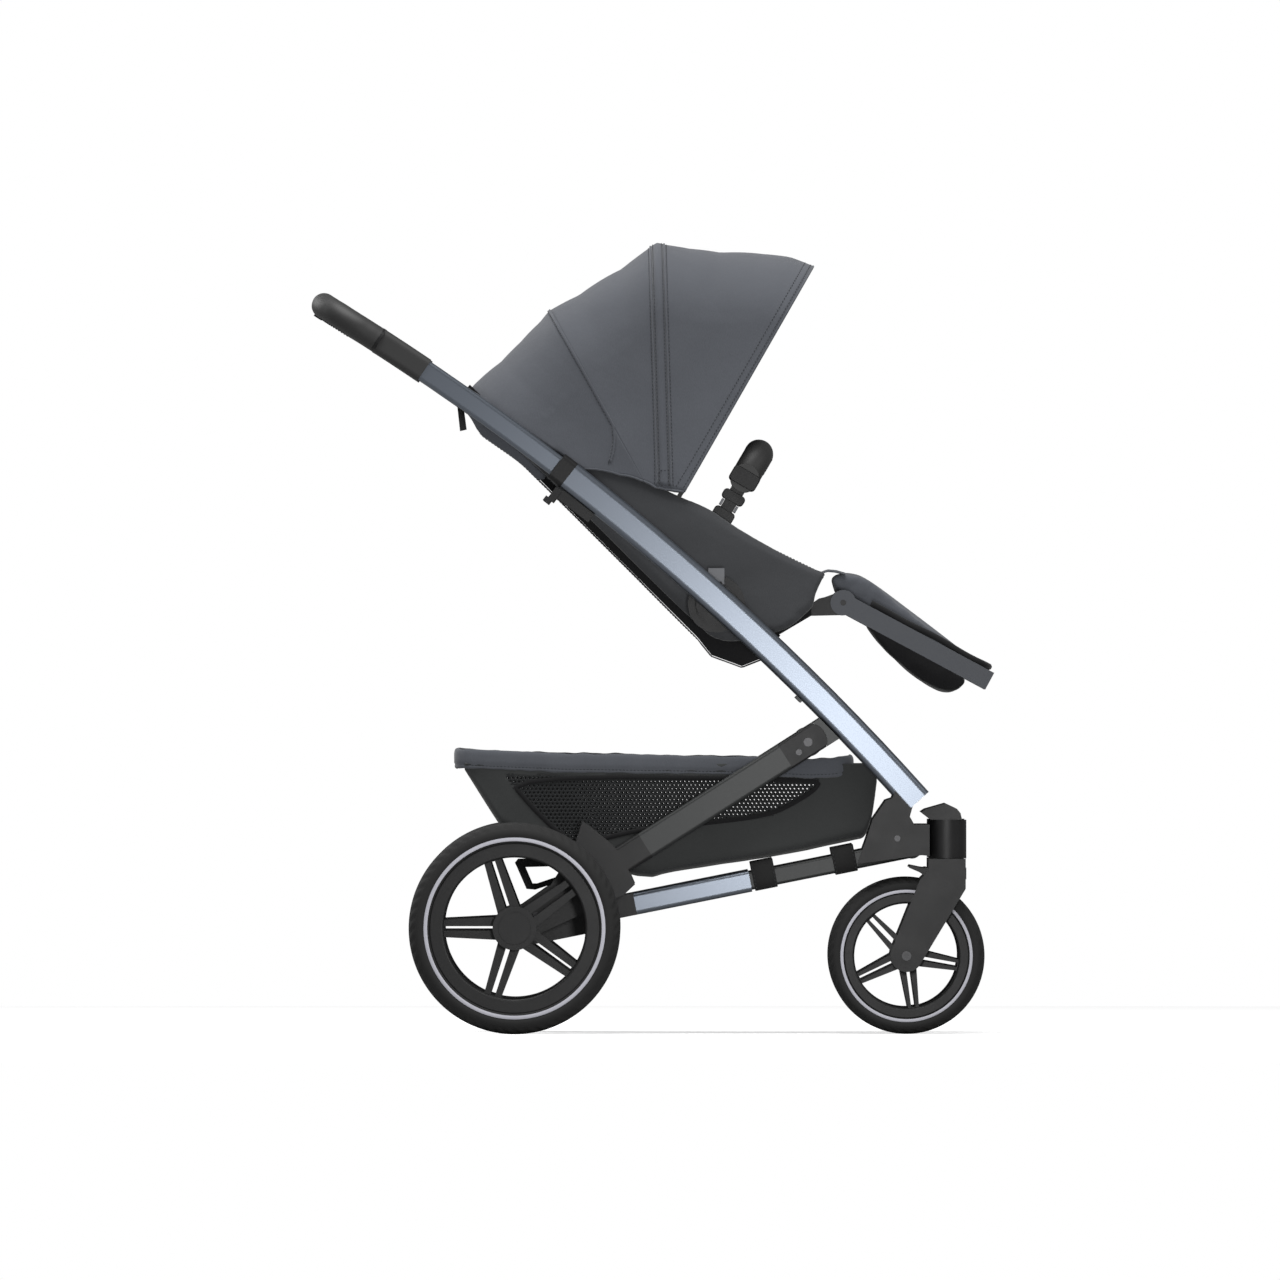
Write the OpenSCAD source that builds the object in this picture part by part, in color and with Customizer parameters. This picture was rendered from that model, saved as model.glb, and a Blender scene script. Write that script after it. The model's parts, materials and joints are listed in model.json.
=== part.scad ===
// Three-panel-hood pushchair with a curved telescopic chassis, four wheels and a lift-off seat.
// Frame: +X is forward, +Y is the left-hand side, +Z is up, the floor is z = 0.

/* [Wheels] */
// Distance between the rear and the front axle
wheelbase = 537; // [480:1:645]
// Distance between the middles of the rear tyres
rear_track = 544; // [500:1:660]
// Distance between the middles of the front tyres
front_track = 410; // [400:1:430]
// Outer diameter of a rear tyre
rear_wheel_d = 290; // [240:1:348]
// Width of a rear tyre
rear_tyre_w = 44; // [30:1:48]
// Outer diameter of a front tyre
front_wheel_d = 214; // [178:1:257]
// Width of a front tyre
front_tyre_w = 38; // [28:1:42]
// Depth of rubber from the rim to the tread
tyre_wall = 27; // [20:1:32]
// Depth of the rim ring inside the tyre
rim_wall = 21; // [12:1:24]
// Number of double spokes in a wheel
spokes = 5; // [3:1:7]
// Width of a double spoke where it leaves the hub
spoke_w = 34; // [24:1:36]
// Width of the slit in a double spoke
spoke_slit = 6; // [3:0.5:8]
// Thickness of a spoke across the wheel
spoke_t = 15; // [8:1:20]
// Diameter of the rear axle bar
axle_d = 16; // [12:1:20]
// Diameter of a wheel spindle
spindle_d = 12; // [8:1:12]
// Running clearance round a pin or a spindle
pin_gap = 0.08; // [0.03:0.01:0.1]

/* [Chassis] */
// Distance of each main tube's middle from the centre plane
tube_y = 222; // [218:1:232]
// Depth of a main tube, seen from the side
tube_depth = 40; // [36:1:44]
// Width of a main tube, seen from the front
tube_w = 26; // [24:1:28]
// Wall of a main tube
tube_wall = 2.5; // [1.5:0.5:3]
// Radius of the arc that both main tubes follow
arc_r = 3647; // [3200:1:4200]
// Direction, from the arc's middle, of a main tube's lower end
foot_angle = 41.8; // [41:0.1:42.5]
// Length of a main tube along its arc
tube_len = 655; // [600:1:720]
// Height of the rail pivot above the front axle
hub_rise = 147; // [145:1:170]
// Trail: distance of the swivel axis ahead of the front axle
trail = 56; // [48:1:62]
// Depth of a rear leg, seen from the side
leg_depth = 38; // [30:1:42]
// Length of the fork-shaped knuckle at the top of a rear leg
knuckle_len = 37; // [32:1:60]
// Radius of the rounded end of that knuckle
knuckle_r = 26; // [22:1:28]
// Length of a rear leg's metal tube
leg_tube_len = 227; // [180:1:260]
// Distance of each lower rail's middle from the centre plane
rail_y = 185; // [182:1:190]
// Depth of the sliding rear part of a lower rail
rail_depth = 30; // [26:1:32]
// Depth of the front part of a lower rail, which slides inside
rail_inner_depth = 25; // [20:1:25]
// Width of a lower rail's outer tube
rail_w = 26; // [22:1:26]
// Distance from the front rail pivot to the outer tube
rail_start = 226; // [200:1:260]
// Length of the outer tube of a lower rail
rail_outer_len = 161; // [140:1:190]
// Length of the front part that stays inside the outer tube
rail_overlap = 140; // [120:1:155]

/* [Handle] */
// Distance along the arc from the collar to the middle of the handle bar
handle_reach = 409; // [340:1:490]
// Depth of the sliding handle tube
handle_depth = 30; // [24:1:32]
// Width of the sliding handle tube
handle_w = 20; // [16:1:20]
// Length of handle tube that stays inside the main tube
handle_insert = 120; // [90:1:150]
// Diameter of the padded grip
grip_d = 35; // [28:1:38]
// Length of grip along each side, up to the middle of the bar
grip_len = 89; // [70:1:110]
// Length of the plain sleeve below the grip
sleeve_len = 75; // [50:1:90]
// Bend radius at the corners of the handle bar
handle_bend = 60; // [45:1:65]

/* [Seat] */
// Distance of the seat pivot behind the rail pivot
seat_back_off = 268; // [255:1:285]
// Height of the seat pivot above the rail pivot
seat_rise = 335; // [320:1:400]
// Width of the seat across its side wings
seat_w = 352; // [300:1:356]
// Thickness of a side wing
wing_t = 18; // [16:1:22]
// Radius of a seat hub
hub_r = 39; // [32:1:45]
// Length of the calf rest from its pivot to its far end
calf_len = 228; // [190:1:273]
// Depth of the calf rest's frame
calf_depth = 26; // [20:1:30]
// Diameter of the padded bumper bar
bumper_d = 39; // [28:1:40]
// Distance of the bumper bar ahead of its hinge
bumper_reach = 38; // [34:1:60]

/* [Hood] */
// Width of the hood across its outer cloth
hood_w = 366; // [366:1:390]
// Length of the rear bow from its pivot to the top of the cloth
rear_bow = 329; // [300:1:345]
// Length of the middle bow
mid_bow = 380; // [350:1:395]
// Length of the front bow
front_bow = 404; // [380:1:420]
// Thickness of the hood cloth with its lining
cloth_t = 3; // [1.5:0.5:4]
// Thickness of a flat bow
bow_t = 1.8; // [1.2:0.1:1.8]
// Width of a flat bow
bow_w = 6; // [5:0.5:8]
// Radius of the hood's upper corners
hood_corner = 95; // [70:1:120]

/* [Basket] */
// Width of the basket across its rim
basket_w = 406; // [360:1:408]
// Thickness of the basket's walls
basket_wall = 4; // [3:0.5:6]
// Height of the padded band round the rim
rim_h = 29; // [20:1:34]
// Width of a strap that ties the basket to a rail
strap_w = 32; // [20:1:34]

/* [Hidden] */
$fn = 96;
arc_fn = 1080;
hull_fn = 32;
eps = 0.01;
seat_gap = 0.3;        // gap between a part and the one that it rests against
slide_gap = 0.3;       // gap round a tube that slides in another
fit_gap = 0.1;         // gap between two parts fixed to one another

// Side-view places, [x, z]
front_axle = [347.6, front_wheel_d / 2];
rear_axle_at = [front_axle[0] - wheelbase, rear_wheel_d / 2];
swivel_x = front_axle[0] + trail;
rail_pivot = [front_axle[0] + 7.5, front_axle[1] + hub_rise];
leg_pivot = rail_pivot + [-142.5, 146];
seat_at = rail_pivot + [-seat_back_off, seat_rise];
tube_foot = rail_pivot + [8, 64.5];
arc_at = tube_foot - arc_r * [cos(foot_angle), sin(foot_angle)];
front_y = front_track / 2;
rear_y = rear_track / 2;
gunmetal = [0.27, 0.29, 0.33];
cloth = [0.35, 0.36, 0.39];
black = [0.07, 0.07, 0.07];
graphite = [0.2, 0.21, 0.21];

// Directions and lengths along the main arc
function arc_deg(len) = len / arc_r * 180 / PI;
collar_angle = foot_angle + arc_deg(tube_len);
handle_angle = collar_angle + arc_deg(handle_reach);
bend_angle = handle_angle - arc_deg(handle_bend);
seam_angle = handle_angle - arc_deg(grip_len);
sleeve_angle = seam_angle - arc_deg(sleeve_len);
function arc_point(a, off = 0) = arc_at + (arc_r + off) * [cos(a), sin(a)];

// Slopes of the lower rails and of the rear legs
rail_span = rail_pivot - rear_axle_at;
rail_tilt = atan2(rail_span[1], rail_span[0]);
rail_reach = norm(rail_span);
leg_span = leg_pivot - rear_axle_at;
leg_tilt = atan2(leg_span[1], leg_span[0]);
leg_reach = norm(leg_span);

/* Helpers */
module both_sides() { children(); mirror([0, 1, 0]) children(); }

// Extrudes a side-view outline, drawn as [x, z], from y0 to y1
module slab(y0, y1) { translate([0, y1, 0]) rotate([90, 0, 0]) linear_extrude(y1 - y0) children(); }

// A cylinder along Y at a side-view place, from y0 to y1
module rod(at, d, y0, y1) { slab(y0, y1) translate(at) circle(d = d); }

// Rectangle with round corners
module rrect(w, h, r) {
    square([w - 2 * r, h], center = true);
    square([w, h - 2 * r], center = true);
    for (x = [-1, 1], y = [-1, 1]) translate([x * (w / 2 - r), y * (h / 2 - r)]) circle(r, $fn = 48);
}

// Sweeps a profile, [radial, across], along the main arc from angle a0 to a1
module arc_beam(a0, a1, y) {
    translate([arc_at[0], y, arc_at[1]]) rotate([90, 0, 0]) rotate([0, 0, a0])
        rotate_extrude(angle = a1 - a0, $fn = arc_fn) translate([arc_r, 0]) children();
}

// Local frame on the arc: X radial and outward, Z along the tube towards the handle
module on_arc(a, y = 0) {
    translate([arc_at[0], y, arc_at[1]]) rotate([0, -a, 0]) translate([arc_r, 0, 0]) children();
}

// Local frames of the rails and legs: X points up to the pivot, Z is normal to the bar
module on_rail() { translate([rail_pivot[0], 0, rail_pivot[1]]) rotate([0, -rail_tilt, 0]) children(); }
module on_leg() { translate([leg_pivot[0], 0, leg_pivot[1]]) rotate([0, -leg_tilt, 0]) children(); }
module on_seat() { translate([seat_at[0], 0, seat_at[1]]) children(); }

// Rounded bar along X from x0 to x1 whose middle is at y
module bar_x(x0, x1, y, depth, w, r) {
    translate([x0, y, 0]) rotate([90, 0, 90]) linear_extrude(x1 - x0) rrect(w, depth, r);
}

/* Main tubes and what is fixed to them */
module main_tubes() {
    color(gunmetal) both_sides() difference() {
        arc_beam(foot_angle, collar_angle, tube_y) rrect(tube_depth, tube_w, 8);
        arc_beam(foot_angle + arc_deg(4), collar_angle + 0.1, tube_y)
            rrect(tube_depth - 2 * tube_wall, tube_w - 2 * tube_wall, 8 - tube_wall);
    }
}

collar_len = 22;
collar_lap = 34;
latch_drop = 14;       // depth of the fold latch under the tube
latch_len = 54;
latch_w = 18;
tongue = 7;            // side of the square tongue of the fold latch
module handle_profile(grow = 0) { rrect(handle_depth + 2 * grow, handle_w + 2 * grow, 6 + grow); }
module latch_place(y) { on_arc(collar_angle - arc_deg(6), y) translate([-tube_depth / 2 - 0.5, 0, 0]) children(); }
module tube_collars() {
    color(black) both_sides() {
        difference() {
            union() {
                arc_beam(collar_angle, collar_angle + arc_deg(collar_len), tube_y)
                    rrect(tube_depth + 1, tube_w + 1, 8);
                arc_beam(collar_angle - arc_deg(collar_lap), collar_angle + 0.01, tube_y)
                    rrect(tube_depth - 2 * tube_wall, tube_w - 2 * tube_wall, 8 - tube_wall);
            }
            arc_beam(collar_angle - 1, collar_angle + 1, tube_y) handle_profile(slide_gap);
        }
        latch_place(tube_y) difference() {
            translate([-latch_drop, -latch_w / 2, -latch_len]) cube([latch_drop, latch_w, latch_len]);
            translate([-latch_drop / 2 - tongue / 2 - slide_gap, -tongue / 2 - slide_gap, -latch_len / 2])
                cube([tongue + 2 * slide_gap, tongue + 2 * slide_gap, latch_len]);
        }
    }
}

latch_gap = 0.4;
module fold_latch(side) {
    color(black) latch_place(side * tube_y) {
        translate([-latch_drop / 2 - tongue / 2, -tongue / 2, -latch_len / 2 + 4])
            cube([tongue, tongue, latch_len / 2 + 6]);
        translate([-latch_drop - 8, -latch_w / 2, latch_gap]) cube([latch_drop + 6, latch_w, 10]);
        translate([-latch_drop - 14, -latch_w / 2, 4]) cube([8, latch_w, 10]);
    }
}
module fold_latch_left() { fold_latch(1); }
module fold_latch_right() { fold_latch(-1); }

// Places in the front hub
hub_in = rail_y + rail_w / 2 + slide_gap;
hub_out = tube_y + tube_w / 2;
housing_d = 52;
housing_z0 = front_axle[1] + 133.5;
housing_z1 = housing_z0 + 53;
stem_d = 18;
cross_at = rail_pivot + [-17, 42];
lug_in = rail_y - rail_w / 2 - slide_gap - 7;
module gusset_outline() {
    translate(rail_pivot)
        polygon([[-64, 9], [-54, 40], [-36, 66], [-27, 69], [-22, 84], [2, 62], [-3, 44], [3, 33], [24, 33], [24, -10],
                 [13, -9], [-75, -21]]);
}
module front_hub() {
    color(black) {
        both_sides() difference() {
            union() {
                slab(hub_in, hub_out) gusset_outline();
                slab(lug_in, rail_y - rail_w / 2 - slide_gap) translate(rail_pivot) {
                    circle(14);
                    polygon([[-14, 0], [-30, 50], [-6, 50], [14, 0]]);
                }
                translate([swivel_x, front_y, housing_z0]) cylinder(d = housing_d, h = housing_z1 - housing_z0);
            }
            arc_beam(foot_angle - arc_deg(0.1), foot_angle + 4, tube_y) rrect(tube_depth + 0.2, tube_w + 0.2, 8.1);
            translate([swivel_x, front_y, housing_z0 - 1])
                cylinder(d = stem_d + 2 * pin_gap, h = housing_z1 - housing_z0 - 7);
            rod(rail_pivot, 10, lug_in - 1, hub_in + 12);
        }
        rod(cross_at, 22, -hub_in - eps, hub_in + eps);
    }
}

module swivel_caps() {
    color(black) both_sides() slab(front_y - 22, front_y + 22) translate([swivel_x, housing_z1 + 0.1])
        polygon([[-23, 0], [20, 0], [18, 9], [13, 15], [-2, 22], [-30, 14], [-36, 10]]);
}

// A rear leg's knuckle turns on a tongue of the bracket
bracket_len = 74;
tongue_t = 8;
module leg_brackets() {
    color(graphite) both_sides() {
        difference() {
            union() {
                on_leg() difference() {
                    translate([0, tube_y - tube_w / 2, -leg_depth / 2]) cube([bracket_len, tube_w, leg_depth]);
                    slab(tube_y - 20, tube_y + 20) circle(knuckle_r + 0.4);
                }
                on_leg() slab(tube_y - tongue_t / 2, tube_y + tongue_t / 2) {
                    circle(knuckle_r - 6);
                    translate([0, -leg_depth / 2 + 4]) square([knuckle_r + 6, leg_depth - 8]);
                }
            }
            arc_beam(foot_angle, foot_angle + 6, tube_y) {
                square([tube_depth + 0.2, tube_w + 20], center = true);
                translate([40, 0]) square([60 , tube_w + 20], center = true);
            }
            rod(leg_pivot, 12, tube_y - 20, tube_y + 20);
        }
        on_arc(foot_angle + 3.37, tube_y) translate([-tube_depth / 2 - 4, -7, -5]) cube([3.8, 14, 10]);
    }
}

module pivot_pins() {
    color("silver") both_sides() {
        rod(leg_pivot, 12, tube_y - tube_w / 2 + 1, tube_y + tube_w / 2 - 1);
        rod(rail_pivot, 10, lug_in, hub_in + 12);
    }
}

hub_in_y = seat_w / 2 + 4;
hub_out_y = tube_y - tube_w / 2 - 8.5;
module seat_adapters() {
    color(black) both_sides() difference() {
        rod(seat_at, 56, hub_out_y + seat_gap, tube_y - tube_w / 2);
        slab(hub_out_y - 1, hub_out_y + 5) translate(seat_at + [-8 - seat_gap, -10]) square([16 + 2 * seat_gap, 60]);
    }
}

/* Handle */
// Bar bent into a U, in the plane that touches the arc where the bends start; side is each leg's length
module handle_u(side, profile_d) {
    on_arc(bend_angle) {
        both_sides() {
            translate([0, tube_y, -side]) cylinder(d = profile_d, h = side);
            translate([0, tube_y - handle_bend, 0]) rotate([90, 0, 90])
                rotate_extrude(angle = 90) translate([handle_bend, 0]) circle(d = profile_d);
        }
        translate([0, 0, handle_bend]) rotate([90, 0, 0])
            cylinder(d = profile_d, h = 2 * (tube_y - handle_bend), center = true);
    }
}

core_d = 18;
grip_side = grip_len - handle_bend;
module handle_tubes() {
    color(gunmetal) {
        both_sides() arc_beam(collar_angle - arc_deg(handle_insert), seam_angle - arc_deg(3), tube_y) handle_profile();
        handle_u(grip_side + 3.5, core_d);
    }
}

module handle_sleeves() {
    color(black) both_sides() difference() {
        arc_beam(sleeve_angle, seam_angle - arc_deg(0.6), tube_y) rrect(handle_depth + 5, handle_w + 6, 9);
        arc_beam(sleeve_angle - 1, seam_angle - arc_deg(3), tube_y) handle_profile(fit_gap);
        on_arc(bend_angle, tube_y) translate([0, 0, -grip_side - 10]) cylinder(d = core_d + 2 * fit_gap, h = 20);
    }
}

button_w = 44;
module handle_grip() {
    color(black) difference() {
        handle_u(grip_side, grip_d);
        handle_u(grip_side + 5, core_d + 2 * fit_gap);
        on_arc(bend_angle) translate([-grip_d / 2 - 1, -button_w / 2 - slide_gap, handle_bend - 6 - slide_gap])
            cube([grip_d / 2, button_w + 2 * slide_gap, 12 + 2 * slide_gap]);
    }
}

module handle_button() {
    color(graphite) on_arc(bend_angle)
        translate([-grip_d / 2 - 1.5, -button_w / 2, handle_bend - 6]) cube([grip_d / 2 - core_d / 2 - 2.5, button_w, 12]);
}

/* Rear legs */
leg_tube_end = knuckle_len + leg_tube_len;
socket_len = 46;
module rear_legs() {
    color(graphite) both_sides() on_leg() difference() {
        bar_x(-leg_tube_end, -knuckle_len, tube_y, leg_depth, tube_w, 5);
        bar_x(-leg_tube_end - 1, -knuckle_len + 1, tube_y, leg_depth - 5, tube_w - 5, 3);
    }
}

brake_shaft = rear_axle_at + [80, 75];
module foot_outline() {
    translate(rear_axle_at) {
        circle(24);
        polygon([[93, 147], [102, 141], [136, 113], [158, 76], [165, 60], [150, 46], [20, -14], [-16, 18], [10, 32], [50, 60], [80, 106]]);
    }
}
module leg_fittings() {
    color(black) both_sides() {
        on_leg() difference() {
            union() {
                bar_x(-knuckle_len, 0, tube_y, leg_depth, tube_w, 3);
                intersection() {
                    bar_x(-1, knuckle_r, tube_y, leg_depth, tube_w, 3);
                    slab(tube_y - tube_w, tube_y + tube_w) circle(knuckle_r);
                }
                bar_x(-knuckle_len - 12, -knuckle_len, tube_y, leg_depth - 5, tube_w - 5, 3);
            }
            slab(tube_y - tongue_t / 2 - slide_gap, tube_y + tongue_t / 2 + slide_gap) circle(knuckle_r + 2);
            slab(tube_y - 20, tube_y + 20) circle(d = 12 + 2 * pin_gap);
        }
        difference() {
            union() {
                on_leg() bar_x(-leg_tube_end - socket_len, -leg_tube_end, tube_y, leg_depth, tube_w, 5);
                on_leg() bar_x(-leg_tube_end, -leg_tube_end + 12, tube_y, leg_depth - 5, tube_w - 5, 3);
                slab(tube_y - tube_w / 2, tube_y + tube_w / 2) foot_outline();
            }
            rod(rear_axle_at, axle_d, tube_y - 20, tube_y + 20);
            rod(brake_shaft, 12 + 2 * pin_gap, tube_y - 20, tube_y + 4);
        }
    }
}

spindle_in = rear_y - rear_tyre_w / 2 - 4;
module rear_axle() {
    color("silver") {
        rod(rear_axle_at, axle_d, -spindle_in, spindle_in);
        both_sides() rod(rear_axle_at, spindle_d, spindle_in - eps, rear_y + 8);
    }
}

/* Wheels */
// Ring of rubber with rounded shoulders, drawn about the origin with its axis along Y
module tyre(d, w) {
    rotate([90, 0, 0]) rotate_extrude()
        translate([d / 2 - tyre_wall * d / rear_wheel_d / 2, 0]) rrect(tyre_wall * d / rear_wheel_d, w, 9);
}

// Hub, double spokes and rim ring; first is the angle of one spoke
module rim(d, w, hub_d, first, hub_w) {
    k = d / rear_wheel_d;
    rim_r = d / 2 - tyre_wall * k;
    rotate([90, 0, 0]) {
        difference() {
            union() {
                rotate_extrude() translate([rim_r - rim_wall * k / 2, 0]) rrect(rim_wall * k, w - 8, 3);
                cylinder(d = hub_d, h = hub_w, center = true);
                for (i = [0 : spokes - 1]) rotate(first + i * 360 / spokes)
                    translate([0, 0, -spoke_t / 2]) linear_extrude(spoke_t)
                        polygon([[0, -spoke_w * k / 2], [rim_r - rim_wall * k + 1, -spoke_w * k / 2 + 5],
                                 [rim_r - rim_wall * k + 1, spoke_w * k / 2 - 5], [0, spoke_w * k / 2]]);
            }
            for (i = [0 : spokes - 1]) rotate(first + i * 360 / spokes)
                translate([hub_d / 2, -spoke_slit / 2, -spoke_t])
                    cube([rim_r - rim_wall * k - hub_d / 2 - 1, spoke_slit, 2 * spoke_t]);
        }
    }
}

rear_hub_d = 60;
cap_d = 44;
cap_t = 7;
module at_rear(side) { translate([rear_axle_at[0], side * rear_y, rear_axle_at[1]]) children(); }
module rear_rim(side) {
    color(black) at_rear(side) difference() {
        rim(rear_wheel_d, rear_tyre_w, rear_hub_d, 36, rear_tyre_w - 4);
        rotate([90, 0, 0]) cylinder(d = spindle_d + 2 * pin_gap, h = 2 * rear_tyre_w, center = true);
        translate([0, side * (rear_tyre_w / 2 - 2 - cap_t / 2 + 1), 0]) rotate([90, 0, 0])
            cylinder(d = cap_d + 2 * slide_gap, h = cap_t + 2, center = true);
    }
}
module hub_button(side) {
    color(black) at_rear(side) translate([0, side * (rear_tyre_w / 2 - 2 - cap_t / 2 + 2), 0])
        rotate([90, 0, 0]) cylinder(d = cap_d, h = cap_t - 3, center = true);
}
module rear_tyre_left() { color(black) at_rear(1) tyre(rear_wheel_d, rear_tyre_w); }
module rear_tyre_right() { color(black) at_rear(-1) tyre(rear_wheel_d, rear_tyre_w); }
module rear_rim_left() { rear_rim(1); }
module rear_rim_right() { rear_rim(-1); }
module hub_button_left() { hub_button(1); }
module hub_button_right() { hub_button(-1); }

/* Brake */
pedal_w = 150;
module brake_pedal() {
    color(black) {
        rod(brake_shaft, 12, -(tube_y + 3), tube_y + 3);
        slab(-pedal_w / 2, pedal_w / 2) translate(brake_shaft) difference() {
            polygon([[0, 6], [-30, 20], [-76, 19], [-80, 14], [-78, 10], [-64, -22], [-52, -23], [0, -6]]);
            polygon([[-8, -1], [-50, -15], [-56, -15], [-66, 8], [-30, 9]]);
        }
    }
}

/* Lower rails */
module rail_inner_tubes() {
    color(black) both_sides() on_rail() difference() {
        union() {
            bar_x(-rail_start - rail_overlap, 0, rail_y, rail_inner_depth, rail_w - 5, 4);
            slab(rail_y - rail_w / 2, rail_y + rail_w / 2) circle(13.5);
        }
        slab(0, 400) circle(d = 10 + 2 * pin_gap);
    }
}

rail_end = rail_start + rail_outer_len;
module rail_outer_tubes() {
    color(gunmetal) both_sides() on_rail() difference() {
        bar_x(-rail_end, -rail_start, rail_y, rail_depth, rail_w, 6);
        bar_x(-rail_end - 1, -rail_start + 1, rail_y, rail_inner_depth + 2 * slide_gap, rail_w - 5 + 2 * slide_gap, 4.3);
    }
}

slot_x = [-9.5, 0];     // how far the axle may stand behind and ahead of its place at rest
slot_z = [0, 5.5];      // how far it may stand below and above it
slot_gap = 0.6;         // clearance round the axle in its slot
module rail_end_housings() {
    color(black) both_sides() on_rail() difference() {
        slab(rail_y - rail_w / 2, rail_y + rail_w / 2) difference() {
            union() {
                polygon([[-rail_end, 15], [-rail_end - 26, 15], [-rail_reach + 95, 24], [-rail_reach, 27],
                         [-rail_reach, -27], [-rail_reach + 95, -27], [-rail_end - 26, -15], [-rail_end, -15]]);
                translate([-rail_reach, 0]) circle(27);
            }
            translate([-rail_reach, 0]) {
                translate([slot_x[0], slot_z[0]] - (axle_d / 2 + slot_gap) * [1, 1])
                    square([slot_x[1] - slot_x[0], slot_z[1] - slot_z[0]] + (axle_d + 2 * slot_gap) * [1, 1]);
            }
        }
        bar_x(-rail_end - 40, -rail_end + 1, rail_y, rail_inner_depth + 2 * slide_gap, rail_w - 5 + 2 * slide_gap, 4.3);
    }
}

/* Front forks */
fork_wall = 10;
fork_gap = 3;
fork_top = housing_z0 - 0.6;
lock_at = [swivel_x - 29, fork_top - 18];
module fork_outline() {
    r = 22;
    lean_back = 21.8;
    lean_front = 28.6;
    translate(front_axle) circle(r);
    polygon([front_axle + r * [-cos(lean_back), sin(lean_back)], [swivel_x - 38, fork_top - 29],
             [swivel_x - 26, fork_top - 17], [swivel_x - 26, fork_top], [swivel_x + 25, fork_top],
             [swivel_x + 25, fork_top - 41], front_axle + r * [cos(lean_front), -sin(lean_front)]]);
}
module front_fork(side) {
    half = front_tyre_w / 2 + fork_gap;
    color(black) translate([0, side * front_y, 0]) difference() {
        union() {
            slab(-half - fork_wall, half + fork_wall) fork_outline();
            translate([swivel_x, 0, fork_top - 1]) cylinder(d = stem_d, h = 46);
        }
        slab(-half, half) translate(front_axle) circle(front_wheel_d / 2 + 5);
        slab(-8.4, 8.4) translate(lock_at) circle(6.4);
        slab(-8.4, 8.4) translate(lock_at + [-20, -4]) square([20, 14]);
        translate([swivel_x + 21, -9.3, fork_top - 28.3]) cube([6, 18.6, 16.6]);
    }
    color("silver") translate([0, side * front_y, 0]) rod(front_axle, spindle_d - 2, -half - eps, half + eps);
}
module front_fork_left() { front_fork(1); }
module front_fork_right() { front_fork(-1); }

module fork_button(side) {
    color("gray") translate([swivel_x + 21.3, side * front_y - 9, fork_top - 28]) cube([4.7, 18, 16]);
}
module fork_button_left() { fork_button(1); }
module fork_button_right() { fork_button(-1); }

module swivel_lock(side) {
    color(black) translate([0, side * front_y, 0]) slab(-8, 8) translate(lock_at) {
        circle(6);
        polygon([[0, 5], [-8, 6], [-22, 9], [-24, 6], [-10, 0], [-2, -5]]);
    }
}
module swivel_lock_left() { swivel_lock(1); }
module swivel_lock_right() { swivel_lock(-1); }

module at_front(side) { translate([front_axle[0], side * front_y, front_axle[1]]) children(); }
module front_rim(side) {
    color(black) at_front(side) difference() {
        rim(front_wheel_d, front_tyre_w, 44, 61.7, front_tyre_w);
        rotate([90, 0, 0]) cylinder(d = spindle_d - 2 + 2 * pin_gap, h = 2 * front_tyre_w, center = true);
    }
}
module front_tyre_left() { color(black) at_front(1) tyre(front_wheel_d, front_tyre_w); }
module front_tyre_right() { color(black) at_front(-1) tyre(front_wheel_d, front_tyre_w); }
module front_rim_left() { front_rim(1); }
module front_rim_right() { front_rim(-1); }

/* Seat */
wing_out = seat_w / 2;
wing_in = wing_out - wing_t;
module seat_hubs() {
    color(black) both_sides() {
        difference() {
            rod(seat_at, 2 * hub_r, hub_in_y, hub_out_y);
            slab(hub_in_y + 4, hub_out_y + 1) translate(seat_at + [-11 - seat_gap, 20]) square([22 + 2 * seat_gap, hub_r]);
        }
        slab(hub_out_y - eps, hub_out_y + 4.6) translate(seat_at + [-8, -9.5]) square([16, 40]);
        rod(seat_at, 20, wing_in + 3, hub_in_y + eps);
    }
}

module seat_buttons() {
    color("gray") both_sides()
        slab(hub_in_y + 4 + seat_gap, hub_out_y - 2) translate(seat_at + [-11, 20.3 + 4]) square([22, hub_r - 14]);
}

module seat_shell() {
    color(black) on_seat() slab(-wing_in + seat_gap, wing_in - seat_gap)
        polygon([[-357, 280], [-337, 262], [-323, 236], [-268, 197], [-26, -45], [-6, -70], [35, -85], [63, -74],
                 [86, -42], [130, -16], [130, 2], [4, -38], [-251, 217], [-338, 301]]);
}

cushion_y = wing_in - 20;
module seat_cushion() {
    color(cloth) on_seat() slab(-cushion_y, cushion_y)
        polygon([[4.4, -37.4], [131, 2.7], [141, 12], [138, 34], [120, 31], [17, -3], [-285, 299], [-304, 298],
                 [-313, 280], [-251.3, 217.9]]);
}

hood_at = [-70, 115];   // hood pivot, from the seat pivot
bow_layer = bow_t + 0.2;
bow_in = wing_out - 3.4 - 3 * bow_layer;
module side_wings() {
    color(cloth) both_sides() on_seat() difference() {
        slab(wing_in, wing_out)
            polygon([[-340, 272], [-318, 240], [-266, 200], [-24, -42], [6, -58], [50, -55], [86, -43], [106, -35],
                     [137, -8], [137, 6], [153, 42], [92, 74], [26, 112], [-56, 155], [-200, 228], [-255, 249],
                     [-268, 249], [-340, 297]]);
        slab(bow_in - 0.8, wing_out - 3) translate(hood_at) {
            circle(14);
            rotate(35) square([400, 400]);
            rotate(75) square([400, 400]);
        }
        slab(wing_in - 1, wing_out - 3) translate(hood_at) circle(d = 6);
        slab(wing_in - 1, wing_out + 1) circle(d = 20 + 2 * pin_gap);
    }
}

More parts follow.
